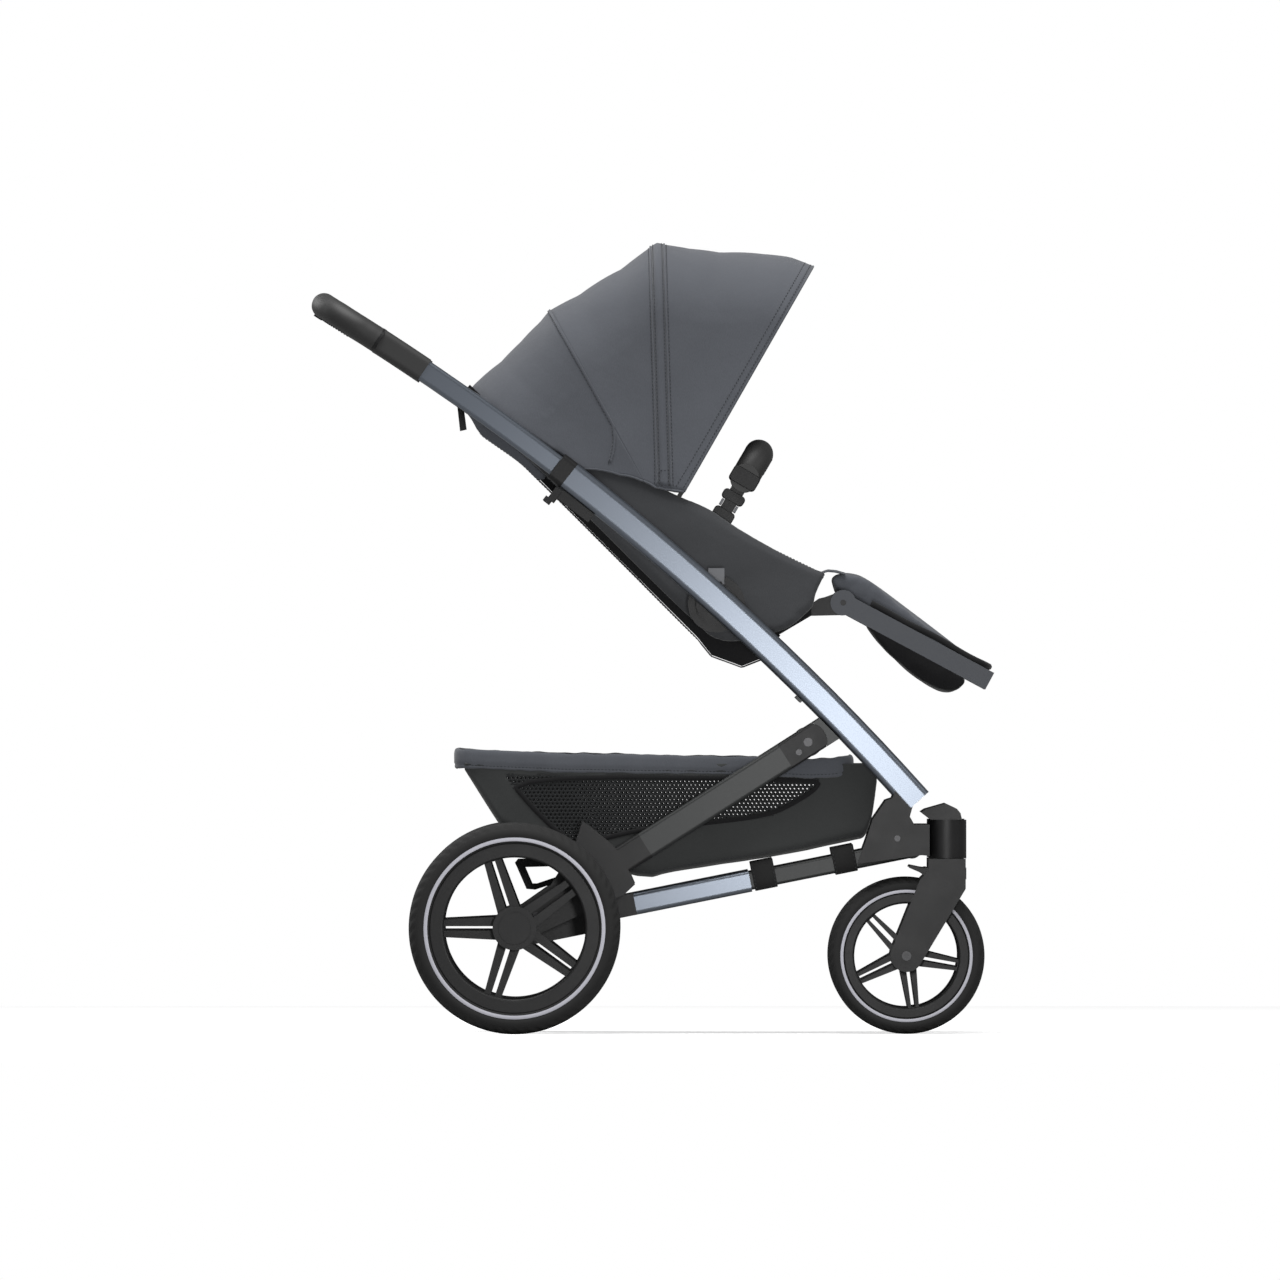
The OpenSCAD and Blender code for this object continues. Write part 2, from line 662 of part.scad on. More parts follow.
strap_t = 3;
module harness() {
    color(black) on_seat() {
        both_sides() {
            translate([-210, 45, 224.5]) rotate([0, 45, 0]) translate([0, -15, 0.3]) cube([140, 30, strap_t]);
            translate([-120, 45, 134.5]) rotate([0, 45, 0]) translate([0, -20, strap_t + 0.5]) cube([100, 40, 8]);
        }
        translate([40, -14, 4.8]) rotate([0, -18.3, 0]) translate([0, 0, 0.2]) cube([60, 28, strap_t]);
        translate([34, -22, 2.9]) rotate([0, -18.3, 0]) translate([0, 0, 0.5 + strap_t]) cube([44, 44, 12]);
    }
}

module recline_handle() {
    color(black) on_seat() slab(-40, 40) polygon([[-356.5, 279], [-347, 270.4], [-343, 240], [-352, 238]]);
}

/* Calf rest */
calf_at = [174, 2];     // calf pivot, from the seat pivot
calf_tilt = -28.2;
arm_in = wing_in - 10;
arm_out = wing_in + 2;
module on_calf() { on_seat() translate([calf_at[0], 0, calf_at[1]]) rotate([0, -calf_tilt, 0]) children(); }
module calf_brackets() {
    color(black) both_sides() {
        on_seat() slab(arm_in - 10, arm_in - seat_gap) {
            translate(calf_at) circle(17);
            polygon([[130.3, -16], [175, -15], [175, 19], [150, 10], [141.6, 8], [130.3, 0]]);
        }
        on_seat() rod(calf_at, 8, arm_in - seat_gap - eps, arm_out);
    }
}

module calf_frame() {
    color(gunmetal) on_calf() {
        both_sides() difference() {
            union() {
                slab(arm_in, arm_out) circle(17.5);
                translate([0, arm_in, -calf_depth / 2]) cube([calf_len - 20, arm_out - arm_in, calf_depth]);
            }
            slab(arm_in - 1, arm_out + 1) circle(d = 8 + 2 * pin_gap);
        }
        translate([0, 0, -calf_depth / 2]) linear_extrude(calf_depth) difference() {
            translate([calf_len - 60, -arm_out]) {
                square([40, 2 * arm_out]);
                square([60, 20]);
            }
            translate([0, -arm_in]) square([calf_len - 20, 2 * arm_in]);
        }
        translate([calf_len - 20, -arm_out, -calf_depth / 2]) cube([20, 2 * arm_out, calf_depth]);
    }
}
calf_in = arm_in - 10 - seat_gap;
module calf_pad() {
    color(cloth) on_seat() slab(-calf_in, calf_in) translate(calf_at)
        polygon([[-18, 34], [-8, 43], [10, 42], [24, 38], [51, 20], [78, -1], [122, -34], [190.1, -84.9],
                 [183, -97.9], [10, -4], [-14, 14]]);
}
module calf_backing() {
    color(black) on_seat() slab(-calf_in, calf_in) translate(calf_at)
        polygon([[20, -9.8], [182.3, -97.9], [172, -117], [144, -133], [78, -88], [26, -30]]);
}

/* Bumper bar */
bumper_at = [39, 173];   // bumper hinge, from the seat pivot
bumper_tilt = 59.7;
bumper_y = wing_in - 1 - bumper_d / 2 + 12;
module on_bumper() { on_seat() translate([bumper_at[0], 0, bumper_at[1]]) rotate([0, -bumper_tilt, 0]) children(); }
module bumper_bar() {
    bend = bumper_reach - 6;
    color(black) on_bumper() difference() {
        union() {
            both_sides() {
                translate([0, bumper_y, 0]) rotate([0, 90, 0]) cylinder(d = bumper_d, h = bumper_reach - bend);
                translate([bumper_reach - bend, bumper_y - bend, 0])
                    rotate_extrude(angle = 90) translate([bend, 0]) circle(d = bumper_d);
                rod([0, 0], bumper_d, bumper_y - bumper_d / 2, bumper_y + bumper_d / 2);
            }
            translate([bumper_reach, 0, 0]) rotate([90, 0, 0])
                cylinder(d = bumper_d, h = 2 * (bumper_y - bend), center = true);
        }
        both_sides() {
            slab(bumper_y - 8.3, bumper_y + 8.3) circle(d = bumper_d + 6);
            rod([0, 0], 8 + 2 * pin_gap, bumper_y - 30, bumper_y + 30);
        }
    }
}

module bumper_adapters() {
    color(black) on_bumper() both_sides() {
        slab(bumper_y - 8, bumper_y + 8) {
            circle(14);
            translate([-30, -10]) square([30, 20]);
            translate([-82, -9]) square([53, 18]);
        }
        rod([0, 0], 8, bumper_y - 17, bumper_y + 17);
    }
}

module bumper_buttons() {
    color("gray") on_bumper() both_sides() slab(bumper_y - 12, bumper_y + 12) difference() {
        translate([-48, -13]) square([9, 26]);
        translate([-49, -9.3]) square([11, 18.6]);
    }
}

/* Hood */
rear_angle = 119;
mid_angle = 92;
front_angle = 60;
hem_angle = 145;
hem_len = 323;
hood_y = hood_w / 2;
module on_hood() { on_seat() translate([hood_at[0], 0, hood_at[1]]) children(); }
module canopy_hinges() { color(black) both_sides() on_hood() rod([0, 0], 6, wing_in, wing_out - 3.1); }

// Door-shaped outline with round upper corners, from the pivot line up
module arch(half_w, h, r) {
    translate([-half_w, 0]) square([2 * half_w, h - r]);
    translate([-half_w + r, 0]) square([2 * (half_w - r), h]);
    for (x = [-1, 1]) translate([x * (half_w - r), h - r]) circle(r);
}
// A flat bow; drop is the room between its top and the cloth over it
module bow(angle, reach, layer, drop) {
    half_w = bow_in + layer * bow_layer + bow_t;
    h = reach - cloth_t - drop;
    color(black) on_hood() rotate([0, -angle, 0]) difference() {
        union() {
            translate([0, 0, -bow_w / 2]) rotate(-90) linear_extrude(bow_w)
                difference() {
                    arch(half_w, h, hood_corner);
                    translate([0, -1]) arch(half_w - bow_t, h - bow_t + 1, hood_corner - bow_t);
                }
            both_sides() rod([0, 0], 16, half_w - bow_t, half_w);
        }
        both_sides() rod([0, 0], 6 + 2 * pin_gap, half_w - 20, half_w + 20);
    }
}
module canopy_rear_bow() { bow(rear_angle, rear_bow, 0, 1.1); }
module canopy_mid_bow() { bow(mid_angle, mid_bow, 1, 1.9); }
module canopy_front_bow() { bow(front_angle, front_bow, 2, 1.5); }

// Points of an arch, [across, up], from the foot on one side to the foot on the other
arch_steps = 8;
function arch_points(half_w, low, h, r) = concat(
    [[half_w, low]],
    [for (i = [0 : arch_steps]) [half_w - r + r * cos(i * 90 / arch_steps), h - r + r * sin(i * 90 / arch_steps)]],
    [for (i = [0 : arch_steps]) [-half_w + r - r * sin(i * 90 / arch_steps), h - r + r * cos(i * 90 / arch_steps)]],
    [[-half_w, low]]
);
function on_plane(p, angle) = [p[1] * cos(angle), p[0], p[1] * sin(angle)];
// Cloth between two arches, as one closed sheet: a and b are [angle, length, foot height]
module cloth_panel(a, b) {
    n = 2 * (arch_steps + 1) + 2;
    ring = function(s, t) [for (p = arch_points(hood_y - t, s[2], s[1] - t, hood_corner - t)) on_plane(p, s[0])];
    pts = concat(ring(a, 0), ring(b, 0), ring(a, cloth_t), ring(b, cloth_t));
    quads = [for (i = [0 : n - 2]) each [
        [i, n + i, n + i + 1, i + 1],
        [2 * n + i, 2 * n + i + 1, 3 * n + i + 1, 3 * n + i],
        [i, i + 1, 2 * n + i + 1, 2 * n + i],
        [n + i, 3 * n + i, 3 * n + i + 1, n + i + 1]
    ]];
    feet = [[0, 2 * n, 3 * n, n], [n - 1, 2 * n - 1, 4 * n - 1, 3 * n - 1]];
    on_hood() polyhedron(points = pts, faces = concat(quads, feet), convexity = 6);
}
panel_gap = 0.15;       // half the gap, in degrees, between two panels of cloth
module canopy_rear_panel() { color(cloth) cloth_panel([hem_angle, hem_len, 150], [rear_angle + panel_gap, rear_bow, 92]); }
module canopy_mid_panel() { color(cloth) cloth_panel([rear_angle - panel_gap, rear_bow, 92], [mid_angle + panel_gap, mid_bow, 48]); }
module canopy_front_panel() { color(cloth) cloth_panel([mid_angle - panel_gap, mid_bow, 48], [front_angle, front_bow, 50]); }

/* Basket */
// Corners of the basket in side view, with the half width there
basket_top_rear = [-258, 372];
basket_corners = [
    [-258, 366, 0], [-204, 292, 3], [-19, 222, 7], [277, 274, 7], [294, 352, 2], [268, 372, 0]
];
module basket_hull(wall) {
    hull() for (c = basket_corners)
        rod([c[0], c[1]], 2 * (12 - wall), -(basket_w / 2 - c[2] - wall), basket_w / 2 - c[2] - wall, $fn = hull_fn);
}
basket_lift = rail_pivot[1] - 254;
module basket_shell() {
    color(graphite) translate([0, 0, basket_lift]) difference() {
        basket_hull(0);
        basket_hull(basket_wall);
        translate([-400, -300, 372]) cube([800, 600, 60]);
        slab(-basket_w / 2 + 5 + basket_wall, basket_w / 2 - 5 - basket_wall)
            polygon([[-250, 373], [-251, 364], [262, 364], [262, 373]]);
    }
}

rim_len = 540;
module basket_rim() {
    color(cloth) translate([0, 0, basket_lift + 372.3]) linear_extrude(rim_h - 12) difference() {
        rrect(rim_len, basket_w, 24);
        rrect(rim_len - 10, basket_w - 10, 19);
    }
}

strap_places = [[78, 22.5], [190, 25]];   // [distance from the rail pivot, height over the rail's middle]
module basket_straps() {
    color(black) both_sides() on_rail() for (s = strap_places)
        translate([-s[0] - strap_w, rail_y, 0]) rotate([90, 0, 90]) linear_extrude(strap_w) difference() {
            translate([-14, -15]) square([28, 15 + s[1]]);
            translate([-11.5, -13]) square([23, 13 + s[1] - 2.5]);
        }
}

main_tubes();
tube_collars();
fold_latch_left();
fold_latch_right();
front_hub();
swivel_caps();
leg_brackets();
pivot_pins();
seat_adapters();
handle_tubes();
handle_sleeves();
handle_grip();
handle_button();
rear_legs();
leg_fittings();
rear_axle();
rear_tyre_left();
rear_tyre_right();
rear_rim_left();
rear_rim_right();
hub_button_left();
hub_button_right();
brake_pedal();
rail_inner_tubes();
rail_outer_tubes();
rail_end_housings();
front_fork_left();
front_fork_right();
front_tyre_left();
front_tyre_right();
front_rim_left();
front_rim_right();
swivel_lock_left();
swivel_lock_right();
fork_button_left();
fork_button_right();
seat_hubs();
seat_buttons();
seat_shell();
seat_cushion();
side_wings();
harness();
recline_handle();
calf_brackets();
calf_frame();
calf_pad();
calf_backing();
bumper_bar();
bumper_adapters();
bumper_buttons();
canopy_hinges();
canopy_rear_bow();
canopy_mid_bow();
canopy_front_bow();
canopy_rear_panel();
canopy_mid_panel();
canopy_front_panel();
basket_shell();
basket_rim();
basket_straps();
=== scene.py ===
"""Finishes, cloth, tyres and small parts for an all-terrain pushchair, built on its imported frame."""
import json
import math

import bmesh
import bpy
import numpy as np
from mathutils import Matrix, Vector, noise


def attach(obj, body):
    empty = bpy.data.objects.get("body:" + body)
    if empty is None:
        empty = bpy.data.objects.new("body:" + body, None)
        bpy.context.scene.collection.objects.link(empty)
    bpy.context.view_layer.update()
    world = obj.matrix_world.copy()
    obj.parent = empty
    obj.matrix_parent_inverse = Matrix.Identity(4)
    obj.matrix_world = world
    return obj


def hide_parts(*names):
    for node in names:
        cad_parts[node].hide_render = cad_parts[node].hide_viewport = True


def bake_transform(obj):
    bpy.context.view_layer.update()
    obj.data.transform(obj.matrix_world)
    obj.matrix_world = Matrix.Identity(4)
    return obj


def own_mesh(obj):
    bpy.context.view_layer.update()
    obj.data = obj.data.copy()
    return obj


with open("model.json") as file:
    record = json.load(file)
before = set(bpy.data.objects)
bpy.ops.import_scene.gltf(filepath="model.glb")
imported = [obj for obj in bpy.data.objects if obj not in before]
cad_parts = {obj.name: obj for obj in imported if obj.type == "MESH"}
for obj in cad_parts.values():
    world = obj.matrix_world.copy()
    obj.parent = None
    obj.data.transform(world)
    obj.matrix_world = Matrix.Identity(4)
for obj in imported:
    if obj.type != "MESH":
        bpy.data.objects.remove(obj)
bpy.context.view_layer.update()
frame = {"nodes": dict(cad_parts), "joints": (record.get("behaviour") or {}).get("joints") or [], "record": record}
NODES = frame["nodes"]
JOINTS = {j["name"]: j for j in frame["joints"]}

bl_info = {
    "name": "All-terrain Pushchair",
    "version": (1, 0, 0),
    "blender": (4, 5, 0),
    "location": "View3D > Sidebar > Pushchair",
    "description": "Cloth, tyres, stitching and finishes of a folding pushchair with a hood and a basket",
    "category": "Object",
}

MM = 0.001


def pivot(joint):
    """Side-view place of a joint, (x, z) in millimetres."""
    x, _, z = JOINTS[joint]["pos_m"]
    return np.array([x / MM, z / MM])


HOOD_PIVOT = pivot("hood_fold")
SEAT_PIVOT = pivot("seat_tilt")
CALF_PIVOT = pivot("calf_rest_tilt")
RAIL_PIVOT = pivot("fold_rail_turn")
BUMPER_PIVOT = pivot("bumper_swing")
REAR_AXLE = pivot("rear_wheel_left_spin")
FRONT_AXLE = pivot("front_wheel_left_spin")

AIR_FRAMES = 20          # frames that a padded form is blown up for
CLOTH_STIFFNESS = 25
CLOTH_BENDING = 2.0
HOOD_THICKNESS = 1.8
BASKET_THICKNESS = 1.6
NET_SPAN_X = (-250.0, 235)
NET_SPAN_Z = (240.0, 356)


# ---------------------------------------------------------------- settings
class ClothSettings(bpy.types.PropertyGroup):
    hood_color: bpy.props.FloatVectorProperty(
        name="Hood Cloth", description="Colour of the hood and of the basket's band", subtype="COLOR", size=3,
        min=0, max=1, default=(0.088, 0.094, 0.108))
    seat_color: bpy.props.FloatVectorProperty(
        name="Seat Cloth", description="Colour of the side wings, cushion and calf rest", subtype="COLOR", size=3,
        min=0, max=1, default=(0.050, 0.052, 0.056))
    lining_color: bpy.props.FloatVectorProperty(
        name="Lining", description="Colour of the black linings, pouches and piping", subtype="COLOR", size=3,
        min=0, max=1, default=(0.007, 0.007, 0.0078))
    basket_color: bpy.props.FloatVectorProperty(
        name="Basket Cloth", description="Colour of the basket's plain cloth", subtype="COLOR", size=3,
        min=0, max=1, default=(0.040, 0.042, 0.042))
    thread_pitch: bpy.props.FloatProperty(
        name="Thread Pitch", description="Distance between two threads of the weave", subtype="DISTANCE",
        unit="LENGTH", min=0.0004, max=0.003, default=0.0011)


class MetalSettings(bpy.types.PropertyGroup):
    tube_color: bpy.props.FloatVectorProperty(
        name="Main Tube", description="Anodised colour of the main and handle tubes", subtype="COLOR", size=3,
        min=0, max=1, default=(0.066, 0.070, 0.081))
    leg_color: bpy.props.FloatVectorProperty(
        name="Rear Leg", description="Painted colour of the rear legs", subtype="COLOR", size=3,
        min=0, max=1, default=(0.026, 0.0275, 0.0275))
    plastic_color: bpy.props.FloatVectorProperty(
        name="Moulding", description="Colour of the black mouldings", subtype="COLOR", size=3,
        min=0, max=1, default=(0.0055, 0.0055, 0.006))


class TrimSettings(bpy.types.PropertyGroup):
    piping: bpy.props.FloatProperty(
        name="Piping", description="Diameter of the piping beside the hood's band", subtype="DISTANCE",
        unit="LENGTH", min=0.0015, max=0.005, default=0.0028)
    stitch: bpy.props.FloatProperty(
        name="Stitch", description="Length of one stitch", subtype="DISTANCE", unit="LENGTH",
        min=0.002, max=0.006, default=0.0034)
    sag: bpy.props.FloatProperty(
        name="Hood Sag", description="How far the hood's cloth lies inside a straight line between two bows",
        subtype="DISTANCE", unit="LENGTH", min=0, max=0.008, default=0.0035)
    mesh_pitch: bpy.props.FloatProperty(
        name="Net Pitch", description="Size of a hole of the basket's net", subtype="DISTANCE", unit="LENGTH",
        min=0.003, max=0.01, default=0.0058)
    yarn: bpy.props.FloatProperty(
        name="Net Yarn", description="Thickness of the net's yarn", subtype="DISTANCE", unit="LENGTH",
        min=0.0005, max=0.004, default=0.0033)
    tread: bpy.props.FloatProperty(
        name="Tread", description="Depth of the grooves in the tyres", subtype="DISTANCE", unit="LENGTH",
        min=0, max=0.003, default=0.0016)


class StageSettings(bpy.types.PropertyGroup):
    lens: bpy.props.FloatProperty(
        name="Lens", description="Focal length; a long one keeps the side view free of perspective",
        min=200, max=1600, default=1400)
    floor_color: bpy.props.FloatVectorProperty(
        name="Floor", description="Colour of the studio floor", subtype="COLOR", size=3, min=0, max=1,
        default=(0.92, 0.92, 0.92))
    key: bpy.props.FloatProperty(name="Key Light", description="Power of the overhead soft light in watts",
                                 min=0, max=2000, default=200)
    world: bpy.props.FloatProperty(name="Surround", description="Strength of the even light from all sides",
                                   min=0, max=2, default=0.26)


# ---------------------------------------------------------------- mesh helpers
def new_object(name, points, faces, smooth=True):
    """An object at the origin from points in millimetres."""
    mesh = bpy.data.meshes.new(name)
    mesh.from_pydata([tuple(float(c) * MM for c in p) for p in points], [], [tuple(f) for f in faces])
    mesh.validate()
    obj = bpy.data.objects.new(name, mesh)
    bpy.context.scene.collection.objects.link(obj)
    tidy(obj)
    mesh.shade_smooth() if smooth else mesh.shade_flat()
    return obj


def tidy(obj, doubles=0.00001):
    """Merges doubles and turns every face outwards."""
    bm = bmesh.new()
    bm.from_mesh(obj.data)
    bmesh.ops.remove_doubles(bm, verts=bm.verts, dist=doubles)
    bmesh.ops.recalc_face_normals(bm, faces=bm.faces)
    bm.to_mesh(obj.data)
    bm.free()


def apply_modifiers(obj):
    """Turns what the modifiers show into the object's own mesh."""
    depsgraph = bpy.context.evaluated_depsgraph_get()
    depsgraph.update()
    made = bpy.data.meshes.new_from_object(obj.evaluated_get(depsgraph))
    old = obj.data
    obj.modifiers.clear()
    obj.data = made
    if obj.type == "MESH" and old.users == 0 and isinstance(old, bpy.types.Mesh):
        bpy.data.meshes.remove(old)
    return obj


def thicken(obj, thickness, offset=-1.0, bevel=0.0, rounds=0):
    """Gives a sheet a wall, and if asked a rounded edge and a subdivision."""
    wall = obj.modifiers.new("wall", "SOLIDIFY")
    wall.thickness, wall.offset, wall.use_even_offset = thickness * MM, offset, True
    if bevel:
        edge = obj.modifiers.new("edge", "BEVEL")
        edge.width, edge.segments, edge.limit_method = bevel * MM, 2, "ANGLE"
    if rounds:
        more = obj.modifiers.new("more", "SUBSURF")
        more.levels = more.render_levels = rounds
    return apply_modifiers(obj)


def grid(rows, cols, close_rows=False, close_cols=False):
    """Faces of a grid of rows x cols points."""
    return [
        (r * cols + c, r * cols + (c + 1) % cols, (r + 1) % rows * cols + (c + 1) % cols, (r + 1) % rows * cols + c)
        for r in range(rows if close_rows else rows - 1)
        for c in range(cols if close_cols else cols - 1)
    ]


def along(points, count):
    """The same line with count points at equal distances."""
    p = np.array(points, float)
    run = np.concatenate([[0], np.cumsum(np.linalg.norm(np.diff(p, axis=0), axis=1))])
    at = np.linspace(0, run[-1], count)
    return np.stack([np.interp(at, run, p[:, k]) for k in range(p.shape[1])], 1)


def rounded(points, times=2, closed=False):
    """Cuts the corners of a line."""
    p = np.array(points, float)
    for _ in range(times):
        q = np.roll(p, -1, 0)
        a, b = 0.75 * p + 0.25 * q, 0.25 * p + 0.75 * q
        if closed:
            p = np.stack([a, b], 1).reshape(-1, p.shape[1])
        else:
            p = np.concatenate([p[:1], np.stack([a[:-1], b[:-1]], 1).reshape(-1, p.shape[1]), p[-1:]])
    return p


def sweep(name, path, profile, up=(0, 0, 1), closed=False):
    """Runs a closed profile, [side, up] in millimetres, along a path."""
    p = np.array(path, float)
    n, m = len(p), len(profile)
    points = []
    for i in range(n):
        before, after = p[(i - 1) % n if closed else max(i - 1, 0)], p[(i + 1) % n if closed else min(i + 1, n - 1)]
        run = Vector(after - before).normalized()
        high = Vector(up[i] if len(np.shape(up)) == 2 else up)
        side = run.cross(high).normalized()
        high = side.cross(run).normalized()
        points += [Vector(p[i]) + side * a + high * b for a, b in profile]
    faces = grid(n, m, close_rows=closed, close_cols=True)
    if not closed:
        faces += [tuple(range(m)), tuple(range((n - 1) * m, n * m))]
    return new_object(name, points, faces)


def ring(radius, count=8, squash=1.0):
    """Round profile."""
    return [(radius * math.cos(2 * math.pi * i / count), radius * squash * math.sin(2 * math.pi * i / count))
            for i in range(count)]


def strip_profile(width, height, lip=0.4):
    """Flat profile with eased edges."""
    w, h = width / 2, height / 2
    return [(-w, -h + lip), (-w + lip, -h), (w - lip, -h), (w, -h + lip), (w, h - lip), (w - lip, h),
            (-w + lip, h), (-w, h - lip)]


def extrude_outline(name, outline, y0, y1, steps):
    """Closed form from a side-view outline between y0 and y1, with steps rings across."""
    m = len(outline)
    ys = np.linspace(y0, y1, steps)
    points = [(x, y, z) for y in ys for x, z in outline]
    return new_object(name, points, grid(steps, m, close_cols=True)
                      + [tuple(range(m)), tuple(range((steps - 1) * m, steps * m))])


def coordinates(obj):
    co = np.zeros(len(obj.data.vertices) * 3)
    obj.data.vertices.foreach_get("co", co)
    return co.reshape(-1, 3) / MM


def place(obj, points):
    obj.data.vertices.foreach_set("co", (np.array(points) * MM).ravel())
    obj.data.update()


def normals(obj):
    return np.array([v.normal for v in obj.data.vertices])


def ripple(points, size, seed):
    """Smooth noise at each point, from about -1 to 1; size is the length of one ripple in millimetres."""
    return np.array([noise.noise(Vector(p) / size + Vector((seed, 0, 0))) for p in points]) * 1.6


def air_fill(obj, voxel, pressure, cap, hold=None):
    """Blows a closed cloth form up until it is taut, and keeps the shape. hold marks points that stay put."""
    obj.data.remesh_voxel_size = voxel * MM
    mesher = obj.modifiers.new("mesher", "REMESH")
    mesher.mode, mesher.voxel_size = "VOXEL", voxel * MM
    apply_modifiers(obj)
    start = coordinates(obj)
    cloth = obj.modifiers.new("air", "CLOTH")
    s = cloth.settings
    s.use_pressure, s.uniform_pressure_force = True, pressure
    s.effector_weights.gravity = 0
    s.quality, s.mass = 5, 0.3
    s.tension_stiffness = s.compression_stiffness = CLOTH_STIFFNESS
    s.bending_stiffness = CLOTH_BENDING
    if hold is not None:
        group = obj.vertex_groups.new(name="held")
        group.add([int(i) for i in np.nonzero(hold(start))[0]], 1.0, "REPLACE")
        s.vertex_group_mass = "held"
    for number in range(1, AIR_FRAMES + 1):
        bpy.context.scene.frame_set(number)
    apply_modifiers(obj)
    bpy.context.scene.frame_set(1)
    moved = coordinates(obj)
    step = moved - start
    far = np.linalg.norm(step, axis=1, keepdims=True)
    place(obj, start + step * np.minimum(1, cap / np.maximum(far, 1e-6)))
    more = obj.modifiers.new("more", "SUBSURF")
    more.levels = more.render_levels = 1
    apply_modifiers(obj)
    obj.vertex_groups.clear()
    obj.data.shade_smooth()
    return obj


def finish_piece(obj, body, slot, *materials, stands_for=()):
    """Gives a piece its materials, its body and the CAD nodes that it stands for."""
    obj.data.materials.clear()
    for material in materials:
        obj.data.materials.append(material)
    if body:
        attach(obj, body)
    if stands_for:
        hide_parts(*stands_for)
    return obj


# ---------------------------------------------------------------- shader groups and materials
def group(name, inputs, outputs, build):
    """A shader node group: inputs and outputs are [(name, kind, default)], build wires it."""
    if name in bpy.data.node_groups:
        return bpy.data.node_groups[name]
    tree = bpy.data.node_groups.new(name, "ShaderNodeTree")
    kinds = {"color": "NodeSocketColor", "float": "NodeSocketFloat", "vector": "NodeSocketVector"}
    for label, kind, default in inputs:
        socket = tree.interface.new_socket(label, in_out="INPUT", socket_type=kinds[kind])
        if default is not None:
            socket.default_value = default
    for label, kind in outputs:
        tree.interface.new_socket(label, in_out="OUTPUT", socket_type=kinds[kind])
    build(tree, tree.nodes.new("NodeGroupInput"), tree.nodes.new("NodeGroupOutput"))
    return tree


def node(tree, kind, **values):
    made = tree.nodes.new(kind)
    for key, value in values.items():
        if key.startswith("in_"):
            made.inputs[key[3:].replace("_", " ")].default_value = value
        else:
            setattr(made, key, value)
    return made


def math_node(tree, operation, a, b=None, clamp=False):
    made = node(tree, "ShaderNodeMath", operation=operation, use_clamp=clamp)
    for socket, value in zip(made.inputs, (a, b)):
        if value is None:
            continue
        if isinstance(value, (int, float)):
            socket.default_value = value
        else:
            tree.links.new(value, socket)
    return made.outputs[0]


def mix_color(tree, factor, a, b, blend="MIX"):
    made = node(tree, "ShaderNodeMix", data_type="RGBA", blend_type=blend)
    for socket, value in ((made.inputs[0], factor), (made.inputs[6], a), (made.inputs[7], b)):
        if isinstance(value, (int, float, tuple)):
            socket.default_value = value
        else:
            tree.links.new(value, socket)
    return made.outputs[2]


def noise_at(tree, vector, scale, detail=2.0, roughness=0.5):
    made = node(tree, "ShaderNodeTexNoise", in_Scale=scale, in_Detail=detail, in_Roughness=roughness)
    tree.links.new(vector, made.inputs["Vector"])
    return made.outputs["Fac"]


def bump(tree, height, strength, distance):
    made = node(tree, "ShaderNodeBump", in_Strength=strength, in_Distance=distance)
    tree.links.new(height, made.inputs["Height"])
    return made.outputs["Normal"]


def build_weave(tree, inp, out):
    """Plain weave: two sets of crossing threads, melange flecks, broad shade and fold marks."""
    link = tree.links.new
    where = tree.nodes.new("ShaderNodeTexCoord").outputs["Object"]
    split = node(tree, "ShaderNodeSeparateXYZ")
    link(where, split.inputs[0])
    turns = math_node(tree, "DIVIDE", math.pi, inp.outputs["Pitch"])
    drift = noise_at(tree, where, 60.0, 1.0)
    bend = math_node(tree, "MULTIPLY", drift, 1.6)
    warp = math_node(tree, "SINE", math_node(tree, "ADD", math_node(tree, "MULTIPLY", math_node(
        tree, "ADD", split.outputs["X"], math_node(tree, "MULTIPLY", split.outputs["Z"], 0.35)), turns), bend))
    weft = math_node(tree, "SINE", math_node(tree, "ADD", math_node(tree, "MULTIPLY", math_node(
        tree, "ADD", math_node(tree, "SUBTRACT", split.outputs["Z"],
                               math_node(tree, "MULTIPLY", split.outputs["X"], 0.35)),
        split.outputs["Y"]), turns), bend))
    threads = math_node(tree, "MULTIPLY", warp, weft)
    stretched = node(tree, "ShaderNodeMapping")
    stretched.inputs["Scale"].default_value = (1.0, 1.0, 0.22)
    link(where, stretched.inputs["Vector"])
    fleck = noise_at(tree, stretched.outputs[0], 1500.0, 3.0, 0.7)
    broad = noise_at(tree, where, 9.0, 3.0)
    shade = math_node(tree, "ADD", math_node(tree, "MULTIPLY", math_node(tree, "SUBTRACT", fleck, 0.5),
                                             inp.outputs["Melange"]),
                      math_node(tree, "MULTIPLY", math_node(tree, "SUBTRACT", broad, 0.5), 0.35))
    shade = math_node(tree, "ADD", shade, math_node(tree, "MULTIPLY", threads, 0.10))
    color = mix_color(tree, math_node(tree, "ADD", shade, 0.5, clamp=True), inp.outputs["Dark"], inp.outputs["Light"])
    link(color, out.inputs["Color"])
    link(math_node(tree, "ADD", math_node(tree, "MULTIPLY", shade, 0.12), 0.84, clamp=True), out.inputs["Roughness"])
    height = math_node(tree, "ADD", math_node(tree, "MULTIPLY", threads, 0.5),
                       math_node(tree, "MULTIPLY", fleck, 0.6))
    fine = bump(tree, height, 0.35, 0.0003)
    creases = node(tree, "ShaderNodeBump", in_Strength=0.25, in_Distance=0.004)
    link(noise_at(tree, where, 26.0, 4.0, 0.55), creases.inputs["Height"])
    link(fine, creases.inputs["Normal"])
    link(creases.outputs[0], out.inputs["Normal"])


